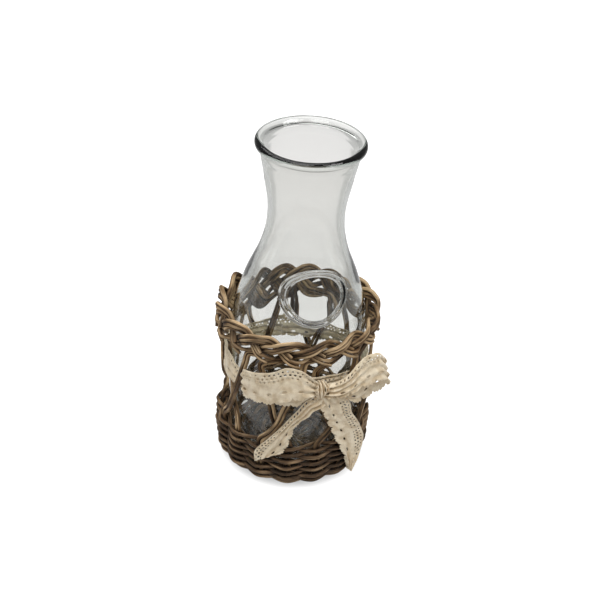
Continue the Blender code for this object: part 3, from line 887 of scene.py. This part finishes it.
@dataclass
class Basket:
    """Basket of round rods: crossed base, woven band, open lattice and plaited border."""

    spokes: int = 16
    phase: float = 19.0
    radius: float = 53.1
    corner: float = 7.5
    spoke_height: float = 4.4
    stick_height: float = 1.3
    stick_pitch: float = 2.9
    stick_half: float = 1.35
    stick_places: tuple = (8.0, 16.5, 44.0)
    row_start: float = 16.6
    row_pitch: float = 2.85
    corner_pitch: float = 2.3
    corner_lead: float = 3.0
    corner_run: float = 5.0
    stroke: float = 2.85
    stroke_spread: float = 0.05
    press_place: float = 50.0
    press_reach: float = 6.0
    press_share: float = 0.32
    weaver_butt: float = 2.95
    weaver_tip: float = 2.4
    weaver_spread: float = 0.05
    joint_turn: float = 0.4
    weaver_wobble: float = 0.25
    weaver_steps: tuple = (16, 30)
    stake_butt: float = 2.8
    stake_tip: float = 2.4
    stake_wobble: float = 0.32
    pair_half: float = 1.4
    inserted: tuple = ((36.5, 2.9), (42.0, 2.7))
    corner_places: tuple = (45.6, 51.5, 57.4)
    band_heights: tuple = (20.0, 30.0, 40.0)
    band_top: float = 41.0
    cross_height: float = 52.0
    cross_lead: float = 5.0
    inner: float = 50.0
    crossing: float = 52.9
    pass_half: float = 2.4
    pass_slant: float = 0.3
    row_stray: float = 0.38
    outer: float = 54.0
    arm_heights: tuple = (59.0, 70.0, 81.0, 92.0, 103.0)
    right_spread: float = 17.0
    left_spread: float = 16.0
    arm_sway: float = 0.35
    border_radius: float = 54.2
    border_height: float = 120.0
    border_swing: float = 6.4
    border_half: float = 1.24
    border_depth: float = 2.7
    border_start: float = -1.35
    border_haste: float = 1.9
    border_stray: float = 0.25
    border_shift: float = 8.0
    border_end: float = 338.0
    border_run_on: int = 670
    tip_half: float = 2.0
    hidden_turn: float = 190.0
    hidden_half: float = 75.0
    left_turn: float = -104.0
    left_wide: float = 38.0
    left_swing: float = 0.30
    left_out: float = 1.4
    back_turn: float = 188.0
    back_wide: float = 58.0
    back_swing: float = 1.00
    back_drop: float = 9.0
    back_swell: float = 0.42

    def build(self, stake_look: bpy.types.Material,
              weaver_look: bpy.types.Material) -> list[bpy.types.Object]:
        """Lay the sticks, weave the weavers and bend the stakes.

        Args:
            stake_look: material of the stakes.
            weaver_look: material of the sticks and weavers.

        Returns:
            The pieces.
        """
        pieces = [self.lay_stick(layer, place, weaver_look)
                  for layer in range(2) for place in range(4)]
        pieces += [self.weave(first, letter, weaver_look) for first, letter in enumerate("ab")]
        for index in range(self.spokes):
            for side, letter in ((-1, "a"), (1, "b")):
                rods = RodWork(seed=100 + index * 2 + side, sides=3, spacing=1.6,
                               shade=random.Random(900 + 2 * index + side).gauss(0.0, 0.04))
                rods.lay(self.stake(index, side > 0), side, self.stake_butt, self.stake_tip,
                         self.stake_wobble)
                pieces.append(rods.publish(f"stake_{index + 1:02d}{letter}", stake_look))
        return pieces

    @property
    def step(self) -> float:
        """Angle from one spoke to the next."""
        return 360.0 / self.spokes

    def meridian(self, distance: float) -> tuple:
        """Surface that the rods are woven on, at a distance from the middle of the base.

        Args:
            distance: distance along the surface, out over the base and up the side.

        Returns:
            Radius, height and the outward and upward parts of the way it faces.
        """
        start = self.radius - self.corner
        bend = math.pi / 2 * self.corner
        if distance <= start:
            return distance, self.spoke_height, 0.0, -1.0
        if distance >= start + bend:
            rise = distance - start - bend
            return self.radius, self.spoke_height + self.corner + rise, 1.0, 0.0
        turn = (distance - start) / self.corner
        return (start + self.corner * math.sin(turn),
                self.spoke_height + self.corner * (1 - math.cos(turn)),
                math.sin(turn), -math.cos(turn))

    def reach(self, row: float) -> float:
        """Distance from the middle of the base to a row, with closer rows round the corner."""
        start = self.radius - self.corner - self.corner_lead
        bend = math.pi / 2 * self.corner + self.corner_run
        flat = (start - self.row_start) / self.row_pitch
        turned = bend / self.corner_pitch
        if row < flat:
            return self.row_start + row * self.row_pitch
        if row < flat + turned:
            return start + (row - flat) * self.corner_pitch
        return start + bend + (row - flat - turned) * self.row_pitch

    def lay_stick(self, layer: int, place: int, look: bpy.types.Material) -> bpy.types.Object:
        """Lay one of eight base sticks, four across four, fanned out like spokes.

        Args:
            layer: 0 or 1 for the lower or the upper four.
            place: which of the four it is.
            look: its material.

        Returns:
            The piece.
        """
        fan = math.radians((place - 1.5) * self.step)
        middle, near, far = self.stick_places
        route = [(middle, (place - 1.5) * self.stick_pitch,
                  self.stick_height + self.stick_pitch * layer)]
        route += [(away * math.cos(fan), away * math.sin(fan), self.spoke_height)
                  for away in (near, far)]
        route = [(-x, y, z) for x, y, z in reversed(route)] + route
        heading = math.radians(self.phase + 90.0 * layer)
        knots = np.array([(x * math.cos(heading) - y * math.sin(heading),
                           x * math.sin(heading) + y * math.cos(heading), z)
                          for x, y, z in route])
        points = [Vector(row) * MM for row in smooth_rows(knots, knots, 2.0)]
        number = layer * 4 + place
        rods = RodWork(seed=40 + number)
        rods.meshes.append(rods.tube(points, [self.stick_half] * len(points)))
        return rods.publish(f"base_stick_{number + 1}", look)

    def weave(self, first: int, letter: str, look: bpy.types.Material) -> bpy.types.Object:
        """Weave one of the two weavers that chase each other round the stakes.

        A weaver is joined from many rods. Each starts and ends inside, behind a stake.

        Args:
            first: 0 or 1, the row that it starts in.
            letter: letter of its node.
            look: its material.

        Returns:
            The piece.
        """
        chance = random.Random(60 + first)
        bend = self.radius - self.corner + math.pi / 2 * self.corner
        top = bend + self.band_top - self.weaver_butt / 2 - self.spoke_height - self.corner
        last = 0
        while self.reach(first + 2 * (last + 1) / self.spokes) <= top:
            last += 1
        rods = RodWork(seed=70 + first, spacing=1.7)
        knots, left = [], chance.randint(*self.weaver_steps)
        for number in range(last + 1):
            distance = self.reach(first + 2 * number / self.spokes)
            radius, height, out, up = self.meridian(distance)
            side = 1 if (number + first) % 2 == 0 else -1
            pressed = 1.0 - self.press_share * math.exp(
                -((distance - self.press_place) / self.press_reach) ** 2)
            offset = side * self.stroke * pressed * (1.0 + chance.gauss(0.0, self.stroke_spread))
            lift = chance.gauss(0.0, self.row_stray)
            middle = self.phase + self.step * (number - 0.5)
            half = math.degrees(self.pass_half / radius)
            for shift, slant in ((-half, -self.pass_slant), (half, self.pass_slant)):
                rise = lift + slant * side
                knots.append(Knot(radius + out * offset - up * rise, middle + shift,
                                  height + up * offset + out * rise))
            left -= 1
            if (left <= 0 and side < 0) or number == last:
                grown = 1.0 + chance.gauss(0.0, self.weaver_spread)
                rods.lay(knots, 0.0, self.weaver_butt * grown, self.weaver_tip * grown,
                         self.weaver_wobble)
                knots, left = [knots[-1]], chance.randint(*self.weaver_steps)
                knots[0] = Knot(knots[0].radius, knots[0].angle + self.joint_turn, knots[0].height)
        return rods.publish(f"weaver_{letter}", look)

    def stake(self, index: int, side_up: bool) -> list[Knot]:
        """Middle route of a stake's pair, from its end in the base to its tip.

        Args:
            index: number of the pair.
            side_up: whether the stake is the upper one in the border, which runs on further.

        Returns:
            The knots of the route.
        """
        chance = random.Random(500 + index)
        rightward = index % 2 == 0
        side = 1 if rightward else -1
        middle = self.phase + 2 * self.step * (index // 2)
        start = middle - side * self.step / 2
        knots = [Knot(radius, start, self.spoke_height, half, 0.0, -1.0)
                 for radius, half in self.inserted]
        for distance in self.corner_places:
            radius, height, out, up = self.meridian(distance)
            knots.append(Knot(radius, start, height, self.pair_half, out, up))
        knots += [Knot(self.radius, start, height, self.pair_half)
                  for height in self.band_heights]
        below = self.cross_height - self.cross_lead
        leaned = self.step / 2 * (below - self.band_top) / (self.cross_height - self.band_top)
        knots.append(Knot(self.crossing if rightward else self.inner, start + side * leaned,
                          below, self.pair_half))
        spread = self.right_spread if rightward else self.left_spread
        radius = self.outer if rightward else self.inner
        first, last = self.arm_heights[0], self.arm_heights[-1]
        slope = spread / (last - self.cross_height)
        sway = chance.gauss(0.0, self.arm_sway)
        for height in self.arm_heights:
            leaned = middle + side * slope * (height - self.cross_height)
            bow = sway * math.sin(math.pi * (height - first) / (last - first))
            knots.append(Knot(radius, leaned + bow, height, self.pair_half))
        loose = random.Random(700 + 2 * index + side_up)
        bottom = middle + self.border_shift + side * self.step / 2
        return knots + self.plait(bottom, side_up, chance, loose)

    def plait(self, bottom: float, side_up: bool, chance: random.Random,
              loose: random.Random) -> list[Knot]:
        """Route of a pair through the border, once over and under the others.

        The border lies lower, swings wider and is thicker at the back, and swings wider at the
        left. At the back both rods run on, elsewhere the upper one does, apart from its pair.

        Args:
            bottom: angle at which the stroke starts.
            side_up: whether this is the upper rod of the pair.
            chance: chances that the pair shares.
            loose: chances of the rod itself.

        Returns:
            The knots of the route.
        """
        hidden = (bottom + 1.5 * 3 * self.step) % 360.0 - self.hidden_turn
        runs_on = side_up or abs(hidden) < self.hidden_half
        turns = list(range(0, 301, 30))
        turns += range(330, self.border_run_on + 1, 30) if runs_on else [self.border_end]
        knots = []
        for turn in turns:
            place = bottom + 3 * self.step * turn / 360.0
            left = bell(place, self.left_turn, self.left_wide)
            back = bell(place, self.back_turn, self.back_wide)
            swing = self.border_swing * (1.0 + self.left_swing * left + self.back_swing * back)
            height = (self.border_height - self.back_drop * back
                      - swing * math.cos(math.radians(turn)))
            swap = self.border_haste * math.sin(math.radians(2 * turn))
            depth = -self.border_depth * max(-1.0, min(1.0, swap))
            if turn == 0:
                depth = self.border_start
            lift = (chance.gauss(0.0, self.border_stray)
                    + loose.gauss(0.0, self.border_stray if turn > 60 else 0.0))
            apart = 1.0 + self.tip_half * ease((turn - 270.0) / 90.0) if runs_on else 1.0
            swell = 1.0 + self.back_swell * back * min(1.0, turn / 60.0)
            knots.append(Knot(self.border_radius + depth + self.left_out * left, place,
                              height + lift, self.border_half * max(apart, swell), swell=swell))
        return knots


# Lace


@dataclass(frozen=True)
class LacePattern:
    """Cut of the lace: a mesh of small eyes on its straight side, slits and a toothed edge."""

    width: float = 25.0
    cell: float = 0.6
    eye_rows: tuple = ((2.3, 0.0, 0.78), (4.9, 1.6, 0.92), (7.5, 0.0, 0.80))
    eye_pitch: float = 3.2
    eye_reach: float = 1.25
    slit_across: float = 17.0
    slit_pitch: float = 11.0
    slit_size: tuple = (1.8, 0.9)
    hole_reach: float = 1.8
    rim_reach: tuple = (0.3, 1.9)
    edge_band: float = 7.0
    tooth_pitch: float = 2.75
    tooth_deep: float = 1.3
    scallop_deep: float = 2.3

    def hole(self, along: float, across: float) -> tuple | None:
        """Find the nearest hole to a place on the flat lace. Now and then an eye is closed.

        Args:
            along: place along the lace, mm.
            across: place across it, mm.

        Returns:
            The hole's middle and half sizes, or None.
        """
        best, least = None, self.hole_reach
        for row, shift, size in self.eye_rows:
            number = round((along - shift) / self.eye_pitch)
            if abs(across - row) > self.eye_reach or (number * 7 + int(row * 10)) % 11 == 0:
                continue
            middle = number * self.eye_pitch + shift
            away = math.hypot((along - middle) / size, (across - row) / size)
            if away < least:
                best, least = (middle, row, size, size), away
        middle = (round(along / self.slit_pitch - 0.5) + 0.5) * self.slit_pitch
        slit = (middle, self.slit_across, *self.slit_size)
        return slit if math.hypot(*self.from_hole(along, across, slit)) < least else best

    def from_hole(self, along: float, across: float, hole: tuple) -> tuple:
        """Way from a hole's middle to a place, in the hole's half sizes."""
        return (along - hole[0]) / hole[2], (across - hole[1]) / hole[3]

    def edge(self, along: float) -> float:
        """Where the toothed edge lies at a place along the lace."""
        share = 2.0 * ((along / self.slit_pitch) % 1.0) - 1.0
        scallop = self.scallop_deep * abs(share) ** 3
        tooth = self.tooth_deep * (1.0 - abs(math.sin(math.pi * along / self.tooth_pitch)))
        return self.width - scallop - tooth

    def cut(self, length: float) -> bmesh.types.BMesh:
        """Make a flat piece of lace.

        Args:
            length: its length, mm.

        Returns:
            A mesh with x along and y across, in mm, and a UV map in metres.
        """
        work = bmesh.new()
        layer = work.loops.layers.uv.new("UVMap")
        bmesh.ops.create_grid(work, x_segments=round(length / self.cell),
                              y_segments=round(self.width / self.cell), size=0.5)
        for vert in work.verts:
            vert.co.x = (vert.co.x + 0.5) * length
            vert.co.y = (vert.co.y + 0.5) * self.width
        self.open_holes(work)
        hem = self.width - self.edge_band
        for vert in work.verts:
            over = vert.co.y - hem
            if over > 0.0:
                vert.co.y = hem + over * (self.edge(vert.co.x) - hem) / self.edge_band
        for face in work.faces:
            for loop in face.loops:
                loop[layer].uv = (loop.vert.co.x * MM, loop.vert.co.y * MM)
        return work

    def open_holes(self, work: bmesh.types.BMesh) -> None:
        """Take out the faces in the holes and round the holes' rims."""
        gone = []
        for face in work.faces:
            middle = face.calc_center_median()
            hole = self.hole(middle.x, middle.y)
            if hole and math.hypot(*self.from_hole(middle.x, middle.y, hole)) < 1.0:
                gone.append(face)
        rim = {vert for face in gone for vert in face.verts}
        bmesh.ops.delete(work, geom=gone, context="FACES")
        near, far = self.rim_reach
        for vert in rim:
            hole = self.hole(*vert.co[:2]) if vert.is_valid and vert.link_faces else None
            if hole is None:
                continue
            away = Vector(self.from_hole(*vert.co[:2], hole))
            if near < away.length < far:
                away = away.normalized()
                vert.co.x = hole[0] + away.x * hole[2]
                vert.co.y = hole[1] + away.y * hole[3]


@dataclass(frozen=True)
class Rib:
    """Line across a ribbon: the ends on its straight and on its toothed side, in metres.

    The fold is the share of the ribbon's spare width there that is taken up in pleats.
    """

    straight: Vector
    toothed: Vector
    fold: float


def wrapped(rows: list[tuple], fold: float = 0.85) -> list[Rib]:
    """Ribs from rows of angle, height and radius at the straight and at the toothed side."""
    return [Rib(polar(row[2], *row[:2]), polar(row[5], *row[3:5]), fold) for row in rows]


@dataclass(frozen=True)
class Cut:
    """Piece cut from the ribbon: its node, its length, how it is held and what carries it."""

    name: str
    node: str
    length: float
    held: str
    rests_on: str
    closed: bool = False


@dataclass
class Ribbon:
    """Lace ribbon: one tie threaded through the lattice, and its bow."""

    pattern: LacePattern = field(default_factory=LacePattern)
    cuts: tuple = (Cut("lace_tie", "ribbon_tie", 345.0, "stretched", "rod_stake_01a", True),
                   Cut("lace_knot", "bow_knot", 29.0, "folded", "lace_tie", True),
                   Cut("lace_loop_left", "bow_loop_left", 118.0, "gathered", "lace_knot"),
                   Cut("lace_loop_right", "bow_loop_right", 118.0, "gathered", "lace_knot"),
                   Cut("lace_tail_left", "bow_tail_left", 78.0, "hung", "lace_knot"),
                   Cut("lace_tail_right", "bow_tail_right", 90.0, "hung", "lace_knot"))
    thickness: float = 0.5
    spacing: float = 0.6
    pleats: float = 3.5
    pleat_fill: float = 0.45
    pleat_start: float = 0.6
    pleat_drift: float = 0.05
    crumples: tuple = ((0.8, 0.11, 0.14, 0.0), (0.3, 0.34, 0.30, 9.0))
    tie_radius: float = 52.0
    plane_angle: float = 8.0
    knot_along: float = -5.6
    knot_height: float = 98.0
    knot_radius: float = 62.5
    knot_size: tuple = (3.9, 5.2)
    knot_slant: float = 0.8
    waist: tuple = (3.7, 1.2)
    tie: tuple = ((-180.0, 75.0, 19.0), (-150.0, 76.0, 18.0), (-120.0, 78.5, 21.0),
                  (-100.0, 82.0, 24.0), (-86.0, 83.5, 24.5), (-76.0, 84.5, 23.5),
                  (-66.0, 83.0, 18.0), (-56.0, 82.5, 14.0), (-45.0, 85.0, 13.0),
                  (-30.0, 89.0, 13.0), (-10.0, 93.0, 13.0), (8.0, 94.0, 13.0),
                  (26.0, 92.0, 14.0), (50.0, 87.0, 18.0), (75.0, 82.0, 23.0),
                  (100.0, 78.0, 22.0), (125.0, 74.5, 19.0), (150.0, 74.0, 18.0),
                  (180.0, 75.0, 19.0))

    def build(self, look: bpy.types.Material) -> list[bpy.types.Object]:
        """Make the tie, the knot, the loops and the tails, and return them."""
        routes = (self.tie_ribs(), self.knot_ribs(), self.left_loop(), self.right_loop(),
                  self.left_tail(), self.right_tail())
        return [self.make(cut, ribs, look) for cut, ribs in zip(self.cuts, routes)]

    def make(self, cut: Cut, ribs: list[Rib], look: bpy.types.Material) -> bpy.types.Object:
        """Cut a piece of lace, lay it along its ribs and publish it.

        Args:
            cut: what is cut.
            ribs: lines across the ribbon in order along it.
            look: its material.

        Returns:
            The piece.
        """
        values = np.array([(*rib.straight, *rib.toothed, rib.fold) for rib in ribs])
        rows = smooth_rows(values, (values[:, 0:3] + values[:, 3:6]) / 2, self.spacing * MM)
        middles = (rows[:, 0:3] + rows[:, 3:6]) / 2
        steps = np.linalg.norm(np.diff(middles, axis=0), axis=1)
        places = np.concatenate([[0.0], np.cumsum(steps)])
        places *= cut.length / places[-1]
        work = self.pattern.cut(cut.length)
        flat = np.array([vert.co[:] for vert in work.verts])

        def along(table: np.ndarray, shift: float = 0.0) -> np.ndarray:
            """Rows of a table at each vertex's place along the ribbon."""
            return np.stack([np.interp(flat[:, 0] + shift, places, column)
                             for column in table.T], axis=1)

        lines = along(rows)
        share = flat[:, 1:2] / self.pattern.width
        spots = lines[:, 0:3] * (1 - share) + lines[:, 3:6] * share
        ahead = along(middles, 0.8) - along(middles, -0.8)
        across = lines[:, 3:6] - lines[:, 0:3]
        facing = np.cross(ahead, across)
        facing /= np.maximum(np.linalg.norm(facing, axis=1, keepdims=True), 1e-12)
        wide = np.maximum(np.linalg.norm(across, axis=1), 1e-5)
        spare = np.maximum((self.pattern.width * MM / wide) ** 2 - 1.0, 0.0)
        turn = 2 * math.pi * self.pleats
        folds = (wide / turn * np.sqrt(spare / self.pleat_fill)
                 * np.sin(share[:, 0] * turn + self.pleat_start
                          + flat[:, 0] * self.pleat_drift))
        crumple = np.array([sum(
            high * noise.noise(Vector((x * fast, y * wave, len(cut.name) + shift)))
            for high, fast, wave, shift in self.crumples) for x, y in flat[:, :2]])
        spots += facing * (lines[:, 6] * folds + crumple * MM)[:, None]
        for vert, spot in zip(work.verts, spots):
            vert.co = spot
        if cut.closed:
            bmesh.ops.remove_doubles(work, verts=work.verts, dist=10 * SAME_PLACE)
        mesh = bpy.data.meshes.new(cut.name)
        work.to_mesh(mesh)
        work.free()
        piece = publish(cut.name, mesh, Body.BASKET, cut.node, Slot.LACE, look)
        thick = piece.modifiers.new("Thickness", "SOLIDIFY")
        thick.thickness = self.thickness * MM
        thick.offset = 0.0
        return piece

    def tie_ribs(self) -> list[Rib]:
        """Ribs of the tie, once round the lattice between its inner and outer arms."""
        table = np.array(self.tie)
        ribs = []
        for angle in np.linspace(-180.0, 180.0, 73):
            middle = np.interp(angle, table[:, 0], table[:, 1])
            wide = np.interp(angle, table[:, 0], table[:, 2])
            ribs.append(Rib(polar(self.tie_radius, angle, middle + wide / 2),
                            polar(self.tie_radius, angle, middle - wide / 2), 0.6))
        return ribs

    def beside(self, along: float, depth: float, height: float) -> Vector:
        """Point on an upright plane before the knot: along it, out from the axis, up."""
        return polar(depth, self.plane_angle, height) + polar(along, self.plane_angle + 90.0, 0.0)

    def knot_ribs(self) -> list[Rib]:
        """Ribs of the knot, a short turn of ribbon pulled tight round the others."""
        ribs = []
        for number in range(13):
            turn = 2 * math.pi * number / 12 + math.pi
            depth = self.knot_radius + self.knot_size[0] * math.cos(turn)
            height = self.knot_height + self.knot_size[1] * math.sin(turn)
            waist = self.waist[0] + self.waist[1] * math.sin(2.0 * turn + 0.7)
            ends = [self.beside(self.knot_along + side * waist, depth,
                                height + side * self.knot_slant) for side in (-1, 1)]
            ribs.append(Rib(*ends, 0.75))
        return ribs

    def left_loop(self) -> list[Rib]:
        """Ribs of the left loop: out along its front, round its end and back behind."""
        rows = [(3.8, 100.5, 62.0, 4.2, 95.0, 62.0), (-1.4, 107.5, 65.0, -1.1, 92.8, 64.5),
                (-6.6, 114.5, 67.0, -6.1, 92.0, 66.5), (-13.3, 119.5, 68.5, -12.6, 91.5, 68.0),
                (-19.4, 119.8, 69.0, -18.8, 89.8, 68.5), (-25.6, 114.8, 68.5, -25.2, 86.8, 68.0),
                (-33.1, 110.8, 67.5, -31.5, 84.1, 67.0), (-40.8, 107.5, 66.0, -38.3, 82.6, 65.0),
                (-46.8, 105.0, 63.5, -44.6, 80.3, 62.5), (-50.6, 101.0, 61.0, -50.2, 79.5, 60.5),
                (-49.6, 99.5, 58.8, -48.0, 77.8, 59.2), (-39.1, 99.5, 58.2, -37.0, 77.8, 59.0),
                (-24.7, 103.5, 58.4, -22.7, 80.2, 60.0), (-14.1, 104.0, 59.2, -12.4, 81.0, 61.4),
                (-4.4, 101.5, 60.2, -5.2, 86.3, 61.8), (3.0, 99.5, 61.0, 3.2, 93.0, 61.4)]
        return wrapped(rows)

    def right_loop(self) -> list[Rib]:
        """Ribs of the right loop, which stands off the basket and tilts up."""
        rows = [(-5.8, 62.0, 100.0, -6.4, 62.0, 93.0), (-1.2, 64.5, 102.5, -1.1, 64.5, 91.0),
                (3.9, 66.0, 103.6, 5.5, 66.5, 90.4), (9.0, 67.0, 106.8, 11.4, 68.0, 92.1),
                (14.1, 67.5, 112.1, 17.5, 69.5, 95.2), (19.3, 67.5, 118.6, 22.4, 70.0, 98.4),
                (23.2, 67.0, 123.0, 28.3, 70.0, 99.3), (28.7, 66.5, 124.2, 33.0, 69.5, 101.1),
                (35.0, 65.0, 122.4, 39.0, 68.5, 101.0), (41.0, 62.0, 113.0, 45.2, 65.5, 94.0),
                (39.0, 60.0, 114.6, 45.0, 62.0, 89.1), (34.0, 59.5, 113.0, 40.4, 60.5, 85.4),
                (28.2, 59.5, 107.9, 34.9, 60.0, 82.5), (22.4, 59.8, 102.0, 29.9, 60.0, 80.2),
                (16.5, 60.0, 98.5, 24.3, 60.5, 78.5), (6.7, 60.5, 97.5, 13.4, 61.0, 84.0),
                (-3.3, 61.0, 98.5, -3.8, 61.5, 92.0)]
        return [Rib(self.beside(*row[:3]), self.beside(*row[3:]), 0.85) for row in rows]

    def left_tail(self) -> list[Rib]:
        """Ribs of the left tail, which lies slantwise on the basket, cut on the slant."""
        rows = [(2.5, 98.5, 62.0, 5.5, 95.0, 62.0), (-2.1, 91.8, 62.6, 8.6, 82.8, 62.0),
                (-6.6, 86.6, 61.8, 0.8, 77.7, 61.8), (-11.1, 78.0, 61.0, -2.4, 72.4, 61.0),
                (-15.6, 70.2, 60.4, -7.0, 67.6, 60.6), (-20.0, 62.3, 60.0, -11.0, 62.2, 60.4),
                (-25.2, 54.0, 59.7, -12.6, 55.5, 60.4), (-30.4, 46.2, 59.5, -14.2, 48.5, 60.2),
                (-35.6, 39.0, 59.5, -15.8, 42.2, 59.9), (-39.0, 32.0, 59.5, -18.8, 37.6, 59.6),
                (-38.2, 24.0, 59.6, -25.0, 33.8, 59.5)]
        return wrapped(rows[:4]) + wrapped(rows[4:], 0.5)

    def right_tail(self) -> list[Rib]:
        """Ribs of the right tail, which hangs to a point below the knot."""
        rows = [(6.5, 97.5, 62.0, 1.5, 96.5, 62.0), (16.5, 90.5, 63.4, 3.0, 88.0, 63.0),
                (24.5, 81.5, 63.4, 4.4, 78.5, 63.0), (29.0, 68.0, 62.3, 8.4, 70.1, 62.3),
                (35.6, 57.3, 61.6, 11.0, 62.9, 61.6), (42.2, 45.4, 61.2, 14.2, 55.5, 61.2),
                (47.0, 34.1, 60.8, 17.8, 46.8, 60.8), (47.2, 25.5, 60.5, 22.0, 37.4, 60.5),
                (43.9, 18.8, 60.2, 26.8, 28.3, 60.2), (39.9, 13.2, 60.0, 30.6, 19.4, 60.0),
                (36.2, 7.3, 59.8, 33.0, 11.4, 59.8)]
        return wrapped(rows)


def main() -> None:
    """Build every piece in order."""
    logging.basicConfig(level=logging.INFO, format="%(name)s %(message)s")
    noise.seed_set(NOISE_SEED)
    Studio().build()
    grain = grain_group()
    stake_look = WickerFinish("stake_bark").material(grain)
    # The weavers get a darker copy of the bark: painted shade for the low band near the floor.
    weaver_look = WickerFinish("weaver_bark_painted_shade", bark=(0.112, 0.068, 0.034),
                               worn=(0.265, 0.182, 0.104)).material(grain)
    Carafe().build(GlassFinish().material())
    rods = Basket().build(stake_look, weaver_look)
    lace = Ribbon().build(LaceFinish().material())
    # Openness for the painted shade in the hollows of the rods and the lace
    mark_hollows(rods, rods + lace, 7.0)
    mark_hollows(lace, rods + lace, 9.0, both_sides=True)


if __name__ == "__main__":
    main()
